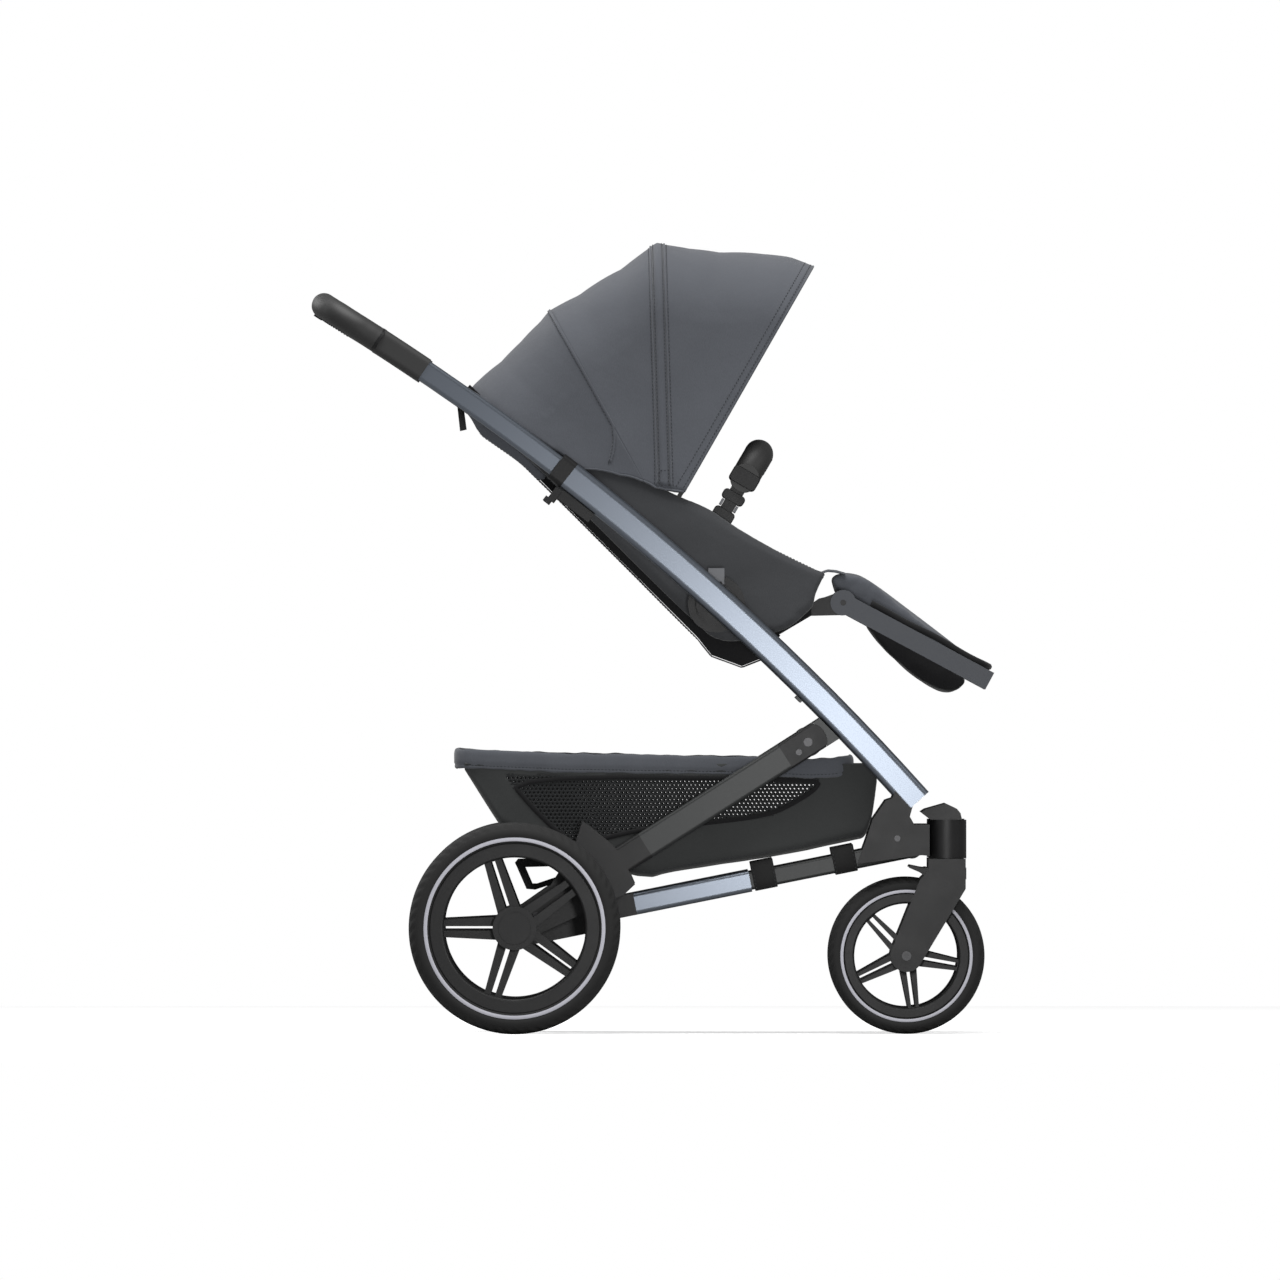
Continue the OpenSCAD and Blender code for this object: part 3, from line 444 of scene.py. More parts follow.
def build_grain(tree, inp, out):
    """Moulded or leather grain with worn, dusty patches."""
    link = tree.links.new
    where = tree.nodes.new("ShaderNodeTexCoord").outputs["Object"]
    cells = node(tree, "ShaderNodeTexVoronoi", feature="SMOOTH_F1", in_Smoothness=0.6)
    link(where, cells.inputs["Vector"])
    link(inp.outputs["Grain"], cells.inputs["Scale"])
    wear = noise_at(tree, where, 24.0, 6.0, 0.65)
    dust = noise_at(tree, where, 7.0, 4.0)
    patch = math_node(tree, "MULTIPLY", math_node(tree, "SUBTRACT", wear, 0.42, clamp=True), 1.8, clamp=True)
    low = node(tree, "ShaderNodeSeparateXYZ")
    link(where, low.inputs[0])
    near_floor = math_node(tree, "SUBTRACT", 1.0, math_node(tree, "MULTIPLY", low.outputs["Z"], 2.2), clamp=True)
    film = math_node(tree, "MULTIPLY", math_node(tree, "MULTIPLY", dust, near_floor), inp.outputs["Dust"], clamp=True)
    color = mix_color(tree, math_node(tree, "MULTIPLY", patch, inp.outputs["Wear"]), inp.outputs["Base"],
                      inp.outputs["Worn"])
    color = mix_color(tree, film, color, (0.11, 0.105, 0.095, 1.0))
    link(color, out.inputs["Color"])
    rough = math_node(tree, "ADD", inp.outputs["Roughness"], math_node(tree, "MULTIPLY", math_node(
        tree, "SUBTRACT", wear, 0.5), 0.16), clamp=True)
    link(rough, out.inputs["Roughness"])
    height = math_node(tree, "ADD", cells.outputs["Distance"], math_node(tree, "MULTIPLY", wear, 0.4))
    made = node(tree, "ShaderNodeBump", in_Distance=0.0004)
    link(height, made.inputs["Height"])
    link(inp.outputs["Relief"], made.inputs["Strength"])
    link(made.outputs[0], out.inputs["Normal"])


def build_metal(tree, inp, out):
    """Anodised or painted tube: fine drawn lines, faint blotches and small scuffs."""
    link = tree.links.new
    where = tree.nodes.new("ShaderNodeTexCoord").outputs["Object"]
    drawn = node(tree, "ShaderNodeMapping")
    drawn.inputs["Scale"].default_value = (1.0, 12.0, 1.0)
    link(where, drawn.inputs["Vector"])
    lines = noise_at(tree, drawn.outputs[0], 420.0, 2.0)
    blotch = noise_at(tree, where, 14.0, 4.0)
    scuff = math_node(tree, "MULTIPLY",
                      math_node(tree, "SUBTRACT", noise_at(tree, where, 90.0, 8.0, 0.75), 0.62, clamp=True),
                      inp.outputs["Scuffs"], clamp=True)
    tone = math_node(tree, "ADD", math_node(tree, "MULTIPLY", math_node(tree, "SUBTRACT", blotch, 0.5), 0.25),
                     math_node(tree, "MULTIPLY", math_node(tree, "SUBTRACT", lines, 0.5), 0.08))
    color = mix_color(tree, math_node(tree, "ADD", tone, 0.5, clamp=True), inp.outputs["Dark"], inp.outputs["Light"])
    color = mix_color(tree, scuff, color, (0.35, 0.35, 0.36, 1.0))
    link(color, out.inputs["Color"])
    link(math_node(tree, "ADD", inp.outputs["Roughness"], math_node(tree, "ADD", math_node(
        tree, "MULTIPLY", scuff, 0.2), math_node(tree, "MULTIPLY", math_node(tree, "SUBTRACT", lines, 0.5), 0.04)),
        clamp=True), out.inputs["Roughness"])
    link(bump(tree, math_node(tree, "ADD", math_node(tree, "MULTIPLY", lines, 0.3), blotch), 0.012, 0.0003),
         out.inputs["Normal"])


OUTPUTS = [("Color", "color"), ("Roughness", "float"), ("Normal", "vector")]


def weave_group():
    return group("woven_cloth", [("Light", "color", (1, 1, 1, 1)), ("Dark", "color", (0, 0, 0, 1)),
                                 ("Pitch", "float", 0.0011), ("Melange", "float", 0.8)], OUTPUTS, build_weave)


def grain_group():
    return group("grained_skin", [("Base", "color", (0, 0, 0, 1)), ("Worn", "color", (0.1, 0.1, 0.1, 1)),
                                  ("Grain", "float", 1400.0), ("Relief", "float", 0.3), ("Roughness", "float", 0.5),
                                  ("Wear", "float", 0.2), ("Dust", "float", 0.2)], OUTPUTS, build_grain)


def metal_group():
    return group("drawn_metal", [("Light", "color", (1, 1, 1, 1)), ("Dark", "color", (0, 0, 0, 1)),
                                 ("Roughness", "float", 0.35), ("Scuffs", "float", 0.3)], OUTPUTS, build_metal)


def tone(color, factor):
    return tuple(min(1.0, c * factor) for c in color) + (1.0,)


def material(name, tree, settings, **shader):
    """A Principled material whose colour, roughness and normal come from one group."""
    made = bpy.data.materials.get(name)
    if made:
        return made
    made = bpy.data.materials.new(name)
    made.use_nodes = True
    nodes = made.node_tree
    principled = nodes.nodes["Principled BSDF"]
    detail = nodes.nodes.new("ShaderNodeGroup")
    detail.node_tree = tree
    for key, value in settings.items():
        detail.inputs[key].default_value = value
    nodes.links.new(detail.outputs["Color"], principled.inputs["Base Color"])
    nodes.links.new(detail.outputs["Roughness"], principled.inputs["Roughness"])
    nodes.links.new(detail.outputs["Normal"], principled.inputs["Normal"])
    for key, value in shader.items():
        principled.inputs[key.replace("_", " ")].default_value = value
    made.diffuse_color = settings.get("Base", settings.get("Light", (0.5, 0.5, 0.5, 1)))
    return made


def cloth_material(name, color, melange=0.8, pitch=None, sheen=0.25):
    cloth = bpy.context.scene.pushchair_cloth
    return material(name, weave_group(), {"Light": tone(color, 1.28), "Dark": tone(color, 0.72),
                                          "Pitch": pitch or cloth.thread_pitch, "Melange": melange},
                    Sheen_Weight=sheen, Sheen_Roughness=0.5, Specular_IOR_Level=0.25)


def hood_cloth():
    return cloth_material("hood_cloth", bpy.context.scene.pushchair_cloth.hood_color)


def seat_cloth():
    return cloth_material("seat_cloth", bpy.context.scene.pushchair_cloth.seat_color)


def lining_cloth():
    return cloth_material("black_lining", bpy.context.scene.pushchair_cloth.lining_color, 0.5, sheen=0.15)


def basket_cloth():
    return cloth_material("basket_cloth", bpy.context.scene.pushchair_cloth.basket_color, 0.6)


def webbing():
    return cloth_material("webbing", (0.012, 0.012, 0.013), 0.6, 0.0022, 0.2)


def thread():
    return cloth_material("sewing_thread", (0.032, 0.034, 0.038), 0.3, 0.0008, 0.1)


def leatherette():
    return material("leatherette", grain_group(), {
        "Base": (0.0125, 0.0122, 0.0118, 1), "Worn": (0.028, 0.027, 0.026, 1), "Grain": 700.0, "Relief": 0.32,
        "Roughness": 0.55, "Wear": 0.25, "Dust": 0.05}, Specular_IOR_Level=0.4)


def moulding():
    color = bpy.context.scene.pushchair_metal.plastic_color
    return material("black_moulding", grain_group(), {
        "Base": tone(color, 1.0), "Worn": tone(color, 2.6), "Grain": 1800.0, "Relief": 0.18, "Roughness": 0.46,
        "Wear": 0.25, "Dust": 0.04}, Specular_IOR_Level=0.35)


def grey_moulding():
    return material("grey_moulding", grain_group(), {
        "Base": (0.10, 0.104, 0.115, 1), "Worn": (0.16, 0.16, 0.17, 1), "Grain": 1500.0, "Relief": 0.12,
        "Roughness": 0.42,
        "Wear": 0.3, "Dust": 0.1})


def rubber():
    return material("tyre_rubber", grain_group(), {
        "Base": (0.0065, 0.0065, 0.0062, 1), "Worn": (0.018, 0.0175, 0.017, 1), "Grain": 900.0, "Relief": 0.22,
        "Roughness": 0.62, "Wear": 0.35, "Dust": 0.10}, Specular_IOR_Level=0.35)


def reflective():
    return material("reflective_ring", grain_group(), {
        "Base": (0.50, 0.50, 0.56, 1), "Worn": (0.60, 0.60, 0.66, 1), "Grain": 2600.0, "Relief": 0.25,
        "Roughness": 0.4,
        "Wear": 0.6, "Dust": 0.1})


def anodised():
    color = bpy.context.scene.pushchair_metal.tube_color
    return material("anodised_tube", metal_group(), {
        "Light": tone(color, 1.12), "Dark": tone(color, 0.88), "Roughness": 0.44, "Scuffs": 0.08}, Metallic=0.5)


def graphite():
    color = bpy.context.scene.pushchair_metal.leg_color
    return material("painted_leg", metal_group(), {
        "Light": tone(color, 1.15), "Dark": tone(color, 0.85), "Roughness": 0.45, "Scuffs": 0.3}, Metallic=0.3)


def net_cloth():
    return cloth_material("basket_net", (0.020, 0.021, 0.022), 0.6, 0.0009, 0.1)


# Darker copy of the tube metal for the calf rest's frame: painted shade, so that the fill light's highlight stays
# faint on it.
def shaded_calf_metal():
    return material("calf_frame_painted_shade", metal_group(), {
        "Light": (0.052, 0.056, 0.064, 1), "Dark": (0.040, 0.043, 0.050, 1), "Roughness": 0.5, "Scuffs": 0.2},
        Metallic=0.4)


def black_steel():
    return material("black_screw", metal_group(), {
        "Light": (0.05, 0.05, 0.052, 1), "Dark": (0.03, 0.03, 0.031, 1), "Roughness": 0.38, "Scuffs": 0.4},
        Metallic=0.8)


def steel():
    return material("turned_steel", metal_group(), {
        "Light": (0.62, 0.62, 0.63, 1), "Dark": (0.42, 0.42, 0.43, 1), "Roughness": 0.3, "Scuffs": 0.2}, Metallic=1.0)


def spring_plastic():
    return material("spring_bow", grain_group(), {
        "Base": (0.02, 0.02, 0.02, 1), "Worn": (0.05, 0.05, 0.05, 1), "Grain": 800.0, "Relief": 0.1, "Roughness": 0.4,
        "Wear": 0.2, "Dust": 0.0})


# ---------------------------------------------------------------- shared trees
def stitch_tree():
    """Stitches along lines: a short capsule on every point of the resampled line, turned along it."""
    name = "stitch_rows"
    if name in bpy.data.node_groups:
        return bpy.data.node_groups[name]
    tree = bpy.data.node_groups.new(name, "GeometryNodeTree")
    face = tree.interface
    face.new_socket("Geometry", in_out="INPUT", socket_type="NodeSocketGeometry")
    for label, kind, default in (("Pitch", "NodeSocketFloat", 0.0048), ("Stitch", "NodeSocketFloat", 0.0034),
                                 ("Thread", "NodeSocketFloat", 0.00045)):
        face.new_socket(label, in_out="INPUT", socket_type=kind).default_value = default
    face.new_socket("Material", in_out="INPUT", socket_type="NodeSocketMaterial")
    face.new_socket("Geometry", in_out="OUTPUT", socket_type="NodeSocketGeometry")
    link, make = tree.links.new, tree.nodes.new
    inp, out = make("NodeGroupInput"), make("NodeGroupOutput")
    curve, even, put = make("GeometryNodeMeshToCurve"), make("GeometryNodeResampleCurve"), make("GeometryNodeInstanceOnPoints")
    even.mode = "LENGTH"
    link(inp.outputs["Geometry"], curve.inputs[0])
    link(curve.outputs[0], even.inputs["Curve"])
    link(inp.outputs["Pitch"], even.inputs["Length"])
    link(even.outputs[0], put.inputs["Points"])
    capsule, flat = make("GeometryNodeMeshUVSphere"), make("GeometryNodeTransform")
    capsule.inputs["Segments"].default_value, capsule.inputs["Rings"].default_value = 6, 5
    capsule.inputs["Radius"].default_value = 1.0
    size = make("ShaderNodeCombineXYZ")
    half = make("ShaderNodeMath")
    half.operation, half.inputs[1].default_value = "MULTIPLY", 0.5
    link(inp.outputs["Stitch"], half.inputs[0])
    link(inp.outputs["Thread"], size.inputs["X"])
    link(inp.outputs["Thread"], size.inputs["Y"])
    link(half.outputs[0], size.inputs["Z"])
    link(capsule.outputs["Mesh"], flat.inputs["Geometry"])
    link(size.outputs[0], flat.inputs["Scale"])
    link(flat.outputs[0], put.inputs["Instance"])
    tangent, turn = make("GeometryNodeInputTangent"), make("FunctionNodeAlignRotationToVector")
    turn.axis = "Z"
    link(tangent.outputs[0], turn.inputs["Vector"])
    link(turn.outputs[0], put.inputs["Rotation"])
    real, paint = make("GeometryNodeRealizeInstances"), make("GeometryNodeSetMaterial")
    link(put.outputs[0], real.inputs[0])
    link(real.outputs[0], paint.inputs["Geometry"])
    link(inp.outputs["Material"], paint.inputs["Material"])
    link(paint.outputs[0], out.inputs[0])
    return tree


def run_tree(obj, tree, **values):
    """Runs a geometry tree on an object with named inputs and keeps the result as its mesh."""
    modifier = obj.modifiers.new("made", "NODES")
    modifier.node_group = tree
    for item in tree.interface.items_tree:
        if item.item_type == "SOCKET" and item.in_out == "INPUT" and item.name in values:
            modifier[item.identifier] = values[item.name]
    return apply_modifiers(obj)


def stitches(name, lines, length=None, stroke=0.00045):
    """Rows of stitches along lines, each a list of points in millimetres."""
    points, edges = [], []
    for line in lines:
        first = len(points)
        points += [tuple(np.array(p) * MM) for p in line]
        edges += [(first + i, first + i + 1) for i in range(len(line) - 1)]
    mesh = bpy.data.meshes.new(name)
    mesh.from_pydata(points, edges, [])
    obj = bpy.data.objects.new(name, mesh)
    bpy.context.scene.collection.objects.link(obj)
    stitch = length or bpy.context.scene.pushchair_trim.stitch
    run_tree(obj, stitch_tree(), Pitch=stitch * 1.45, Stitch=stitch, Thread=stroke, Material=thread())
    obj.data.shade_smooth()
    return obj


# ---------------------------------------------------------------- tyres
def tyre_mesh(name, centre, y, radius, width, wall, ring_at, ring_w, lugs):
    """A tyre with a bead, a light ring in each wall and a grooved tread."""
    half = width / 2
    inner = radius - wall - 1.5
    side = [(inner, half - 5.5), (inner + 0.6, half - 2.2), (ring_at - ring_w / 2 - 0.6, half - 1.0),
            (ring_at - ring_w / 2, half - 0.7), (ring_at + ring_w / 2, half - 0.5),
            (ring_at + ring_w / 2 + 0.6, half - 0.9),
            (ring_at + ring_w / 2 + 1.6, half - 0.1), (radius - wall * 0.55, half),
            (radius - wall * 0.38, half - 0.8),
            (radius - wall * 0.34, half - 1.9), (radius - wall * 0.24, half - 3.6),
            (radius - wall * 0.15, half - 6.0),
            (radius - wall * 0.085, half - 9.0), (radius - wall * 0.04, half - 12.0),
            (radius - wall * 0.03, half - 13.0),
            (radius - wall * 0.008, 4.2), (radius - wall * 0.004, 3.2), (radius, 0.9)]
    profile = [(r, -h) for r, h in side] + [(r, h) for r, h in reversed(side)]
    depth = bpy.context.scene.pushchair_trim.tread / MM
    turns, m = lugs * 5, len(profile)
    points = []
    for i in range(turns):
        angle = 2 * math.pi * i / turns
        for r, h in profile:
            cut = 0.0
            if r > radius - wall * 0.26:
                lean = (i + int(abs(h) * 0.35) + (2 if h > 0 else 0)) % 5
                if abs(h) > 4 and lean in (0, 1):
                    cut = depth
                if 3 < abs(h) < 4.5:
                    cut = depth
            points.append((centre[0] + (r - cut) * math.cos(angle), y + h, centre[1] + (r - cut) * math.sin(angle)))
    faces = grid(turns, m, close_rows=True, close_cols=True)
    obj = new_object(name, points, faces)
    distance = [math.hypot(p.center.x / MM - centre[0], p.center.z / MM - centre[1]) for p in obj.data.polygons]
    return obj, distance, inner


def make_tyres():
    for side, y_sign in (("left", 1), ("right", -1)):
        for where, centre, track, radius, width, wall, ring_at, ring_w, lugs in (
                ("rear", REAR_AXLE, 272, 145, 44, 27, 122, 5.0, 60),
                ("front", FRONT_AXLE, 205, 107, 38, 19.92, 88.6, 4.0, 46)):
            name = f"{where}_tyre_{side}"
            obj, distance, _ = tyre_mesh("tread_" + name, centre, y_sign * track, radius, width, wall, ring_at,
                                         ring_w, lugs)
            finish_piece(obj, f"{where}_wheel_{side}", "tyre_rubber", rubber(), reflective(), stands_for=[name])
            obj.data.polygons.foreach_set("material_index", [int(abs(d - ring_at) < ring_w / 2) for d in distance])


# ---------------------------------------------------------------- hood
HOOD_TOP = [(60.2, 404.3), (61.4, 403), (65, 400), (70, 389.5), (78.4, 375.5), (85, 374.5), (89.4, 378), (92, 380),
            (95.5, 366.5), (100, 350), (111, 331), (119, 329), (122.4, 322), (129, 315.5), (136, 313.5),
            (145.3, 322.5), (147.6, 321)]
HOOD_LOW = [(60, 47), (64, 45), (72, 42.5), (90, 42), (107, 47), (122, 65), (135, 88), (142, 112), (147.6, 132)]
HOOD_HALF, HOOD_CORNER = 183.0, 95.0
HEM, REAR_BOW, MID_BOW, FRONT_BOW = 147.6, 119.0, 91.7, 60.2


def table(rows, at):
    return float(np.interp(at, [r[0] for r in rows], [r[1] for r in rows]))


def lean(angle, up):
    """The front edge reaches past its bow, to cover it."""
    return math.radians(angle) - 3.5 / max(up, 40.0) * max(0.0, 1 - (angle - FRONT_BOW) / 12)


def hood_side(angle, up, side, lift=0.0):
    """Point on the hood's flat side, up millimetres from the hinge along angle."""
    bows = [FRONT_BOW, MID_BOW, REAR_BOW, HEM]
    share = next(((angle - a) / (b - a) for a, b in zip(bows, bows[1:]) if a <= angle <= b), 0.0)
    sag = bpy.context.scene.pushchair_trim.sag / MM * math.sin(math.pi * min(max(share, 0), 1))
    rise = min(1.0, max(0.0, (up - 40) / 120))
    a = lean(angle, up)
    return np.array([HOOD_PIVOT[0] + up * math.cos(a), side * (HOOD_HALF - sag * rise + lift), HOOD_PIVOT[1]
                     + up * math.sin(a)])


def hood_point(angle, s, lift=0.0):
    """Point of the hood's outer face; s runs from -1 at the right foot over the top to 1."""
    top, low = table(HOOD_TOP, angle), table(HOOD_LOW, angle)
    straight, bend, flat = top - HOOD_CORNER - low, HOOD_CORNER * math.pi / 2, HOOD_HALF - HOOD_CORNER
    run = (1 - abs(s)) * (straight + bend + flat)
    side = -1 if s < 0 else 1
    if run <= straight:
        return hood_side(angle, low + run, side, lift)
    base = hood_side(angle, top - HOOD_CORNER, side)
    sag = HOOD_HALF - abs(base[1])
    t = min((run - straight) / HOOD_CORNER, math.pi / 2)
    fade = sag * (1.25 * math.cos(t) + 0.9 * math.sin(2 * t) * 0.5)
    across = HOOD_HALF - HOOD_CORNER + (HOOD_CORNER + lift) * math.cos(t) - fade * math.cos(t)
    up = top - HOOD_CORNER + (HOOD_CORNER + lift) * math.sin(t) - fade * math.sin(t) * 0.5
    across -= max(0.0, run - straight - bend)
    a = lean(angle, up)
    return np.array([HOOD_PIVOT[0] + up * math.cos(a), side * across, HOOD_PIVOT[1] + up * math.sin(a)])


def hood_line(angle, s0=-1.0, s1=1.0, count=90, offset=0.0, lift=0.0):
    """Line across the hood beside a bow; offset is in millimetres towards the rear."""
    points = []
    for s in np.linspace(s0, s1, count):
        far = np.linalg.norm((hood_point(angle, s) - np.array([HOOD_PIVOT[0], 0, HOOD_PIVOT[1]]))[[0, 2]])
        points.append(hood_point(angle + math.degrees(offset / max(far, 45.0)), s, lift))
    return points


def outward(obj, centre):
    """Turns an open sheet's faces away from a point."""
    mesh = obj.data
    total = sum((p.center / MM - Vector(centre)).dot(p.normal) * p.area for p in mesh.polygons)
    if total < 0:
        mesh.flip_normals()


def bend_hood(obj):
    """Bakes the piece's placement into its mesh and reads its points."""
    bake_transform(obj)
    co = coordinates(obj)


PANELS = [("rear", HEM, REAR_BOW, "seat", "hood_rear"), ("mid", REAR_BOW, MID_BOW, "hood_rear", "hood_mid"),
          ("front", MID_BOW, FRONT_BOW, "hood_mid", "hood_front")]


def make_hood():
    inside = (HOOD_PIVOT[0], 0, HOOD_PIVOT[1] + 150)
    for number, (name, start, end, a, b) in enumerate(PANELS):
        rows, cols = 30, 141
        points = []
        for i, angle in enumerate(np.linspace(start, end, rows)):
            pull = math.sin(math.pi * i / (rows - 1))
            for s in np.linspace(-1, 1, cols):
                p = hood_point(angle, s)
                wave = noise.noise(Vector(p) / 70 + Vector((number * 7, 0, 0))) * 2.2 * pull
                tuck = noise.noise(Vector((p[0] / 60, p[1] / 24, p[2] / 60))) * 0.8 * (1 - pull)
                middle = np.array([HOOD_PIVOT[0], 0.0, HOOD_PIVOT[1] + 120])
                away = (p - middle) / np.linalg.norm(p - middle)
                points.append(p - away * (max(0.0, wave) + abs(tuck)))
        obj = new_object(f"hood_{name}_cloth", points, grid(rows, cols))
        outward(obj, inside)
        thicken(obj, HOOD_THICKNESS)
        obj.data.shade_smooth()
        finish_piece(obj, None, "grey_cloth", hood_cloth(), stands_for=[f"canopy_{name}_panel"])
        bend_hood(obj)

    # double-piped band on the middle bow, felled seam on the rear bow, hems
    for offset, name in ((-9.5, "front"), (9.5, "rear")):
        cord = sweep(f"hood_piping_{name}", hood_line(MID_BOW, -0.992, 0.992, 150, offset, 0.6),
                     ring(bpy.context.scene.pushchair_trim.piping / MM / 2), up=hood_ups(MID_BOW, 150))
        finish_piece(cord, "hood_mid", "grey_cloth", hood_cloth())
    left, right = hood_line(MID_BOW, -0.99, 0.99, 150, -8.0, 0.9), hood_line(MID_BOW, -0.99, 0.99, 150, 8.0, 0.9)
    band = new_object("hood_band", left + hood_line(MID_BOW, -0.99, 0.99, 150, 0.0, 1.5) + right, grid(3, 150))
    outward(band, inside)
    thicken(band, 1.2)
    finish_piece(band, "hood_mid", "grey_cloth", hood_cloth())
    box = []
    for side in (-1, 1):
        low = table(HOOD_LOW, MID_BOW)
        corners = [(low + 6, -6.5), (low + 6, 6.5), (low + 26, 6.5), (low + 26, -6.5), (low + 6, -6.5)]
        box.append(along([hood_side(MID_BOW + math.degrees(o / up), up, side, 1.8) for up, o in corners], 40))
    band_rows = [hood_line(MID_BOW, -0.985, 0.985, 200, o, 1.4 if abs(o) < 9 else 0.25)
                 for o in (-6.3, 6.3, -12.5, 12.5)]
    finish_piece(stitches("hood_band_stitches", box + band_rows), "hood_mid", "grey_cloth", thread())

    seam = []
    for side in (-1, 1):
        lower = [hood_side(a, up, side, 0.5) for a, up in ((134, 110), (128, 118), (122.5, 130), (119.6, 145))]
        seam.append(lower)
    limit = 1 - (148 - table(HOOD_LOW, REAR_BOW)) / (
        table(HOOD_TOP, REAR_BOW) - HOOD_CORNER - table(HOOD_LOW, REAR_BOW) + HOOD_CORNER * math.pi / 2 + HOOD_HALF
        - HOOD_CORNER)
    over = hood_line(REAR_BOW, -limit, limit, 120, 0, 0.5)
    path = along(rounded(list(seam[0]) + list(over) + list(reversed(seam[1])), 1), 190)
    centre = np.array([HOOD_PIVOT[0], 0.0, HOOD_PIVOT[1] + 150])
    ridge = sweep("hood_rear_seam", path, strip_profile(4.6, 1.2), up=[tuple(p - centre) for p in path])
    finish_piece(ridge, "hood_rear", "grey_cloth", hood_cloth())
    side_rows = [[p + (p - centre) / np.linalg.norm(p - centre) * 0.7 + np.array([o, 0, o]) for p in path]
                 for o in (-1.2,)]
    finish_piece(stitches("hood_rear_stitches", side_rows), "hood_rear", "grey_cloth", thread())

    hem_rows = [hood_line(FRONT_BOW + 0.2, -0.985, 0.985, 220, 11.0, 0.3),
                hood_line(FRONT_BOW + 0.2, -0.985, 0.985, 220, 3.0, 0.3)]
    finish_piece(stitches("hood_front_stitches", hem_rows), "hood_front", "grey_cloth", thread())
    edge = sweep("hood_front_hem", hood_line(FRONT_BOW, -0.998, 0.998, 160, 0.6, -0.9), ring(1.6),
                 up=hood_ups(FRONT_BOW, 160))
    finish_piece(edge, "hood_front", "grey_cloth", hood_cloth())
    for side, word in ((-1, "right"), (1, "left")):
        for name, start, end, a, b in PANELS:
            line = [hood_point(angle, side * 0.9995, -0.9) for angle in np.linspace(start - 0.1, end + 0.1, 24)]
            hem = sweep(f"hood_foot_{name}_{word}", line, ring(1.5), up=(0, 1, 0))
            finish_piece(hem, None, "grey_cloth", hood_cloth())
            bend_hood(hem)


def hood_ups(angle, count):
    """Direction square to the bow's plane, once for each point of a line across the hood."""
    a = math.radians(angle)
    return [(-math.sin(a), 0.0, math.cos(a))] * count


# ---------------------------------------------------------------- side wings
WING = [(-343, 275), (-339, 268), (-318, 239), (-266, 199), (-24, -43), (6, -59), (50, -57), (86, -45), (107, -37),
        (134, -12), (140, -6), (141, 8), (155, 38), (157, 45), (150, 48), (92, 76), (26, 114), (-6, 138), (-56, 157),
        (-200, 229), (-255, 250), (-268, 250), (-336, 294), (-343, 297)]


def inset(outline, distance):
    """Moves a closed outline inwards."""
    p = np.array(outline, float)
    q, r = np.roll(p, 1, 0), np.roll(p, -1, 0)
    area = 0.5 * np.sum(p[:, 0] * r[:, 1] - r[:, 0] * p[:, 1])
    run = (r - q) / np.maximum(np.linalg.norm(r - q, axis=1, keepdims=True), 1e-6)
    return p + np.stack([-run[:, 1], run[:, 0]], 1) * distance * (1 if area > 0 else -1)


def around(obj, line, toward, reach=80.0, lift=0.3):
    """Drops a line onto a piece along a direction and lifts it a little."""
    way = Vector(toward).normalized()
    bpy.context.view_layer.update()
    found = []
    for p in line:
        hit, spot, _, _ = obj.ray_cast((Vector(p) - way * reach) * MM, way)
        if hit:
            found.append(np.array(spot / MM - way * lift))
    return found


def make_wings():
    shape = [(SEAT_PIVOT[0] + x, SEAT_PIVOT[1] + z) for x, z in WING]
    form = along(np.vstack([rounded(shape, 2, closed=True), rounded(shape, 2, closed=True)[:1]]), 190)[:-1]
    right = extrude_outline("wing_right", inset(form, 3.6), -172.4, -161.6, 4)
    air_fill(right, 4.0, 3.2, 3.6)
    co = coordinates(right)
    outer = co[:, 1] < -167
    pull = ripple(co, 95, 3) * 1.4 + ripple(co, 34, 5) * 0.5
    co[:, 1] += np.where(outer, np.maximum(pull, -0.6), 0)
    place(right, co)
    rows = [around(right, [(x, -167, z) for x, z in np.vstack([inset(form, d), inset(form, d)[:1]])], (0, 1, 0))
            for d in (7.0, )]
    finish_piece(right, "seat", "grey_cloth", seat_cloth(), stands_for=["side_wings"])
    left = right.copy()
    left.name, left.data = "wing_left", right.data.copy()
    bpy.context.scene.collection.objects.link(left)
    co[:, 1] *= -1
    place(left, co)
    left.data.flip_normals()
    finish_piece(left, "seat", "grey_cloth", seat_cloth(), stands_for=["side_wings"])
    both = rows + [[p * np.array([1, -1, 1]) for p in row] for row in rows]
    finish_piece(stitches("wing_stitches", both), "seat", "grey_cloth", thread())


# ---------------------------------------------------------------- cushion and calf rest
CUSHION = [(5, -37), (131, 3), (141, 12), (138, 34), (120, 31), (17, -3), (-285, 299), (-304, 297), (-312, 281),
           (-251, 219)]
BACK_WAY, SEAT_WAY = np.array([-0.7071, 0.7071]), np.array([0.9494, 0.3140])
BACK_FACE, SEAT_FACE = np.array([0.7071, 0.7071]), np.array([-0.3140, 0.9494])


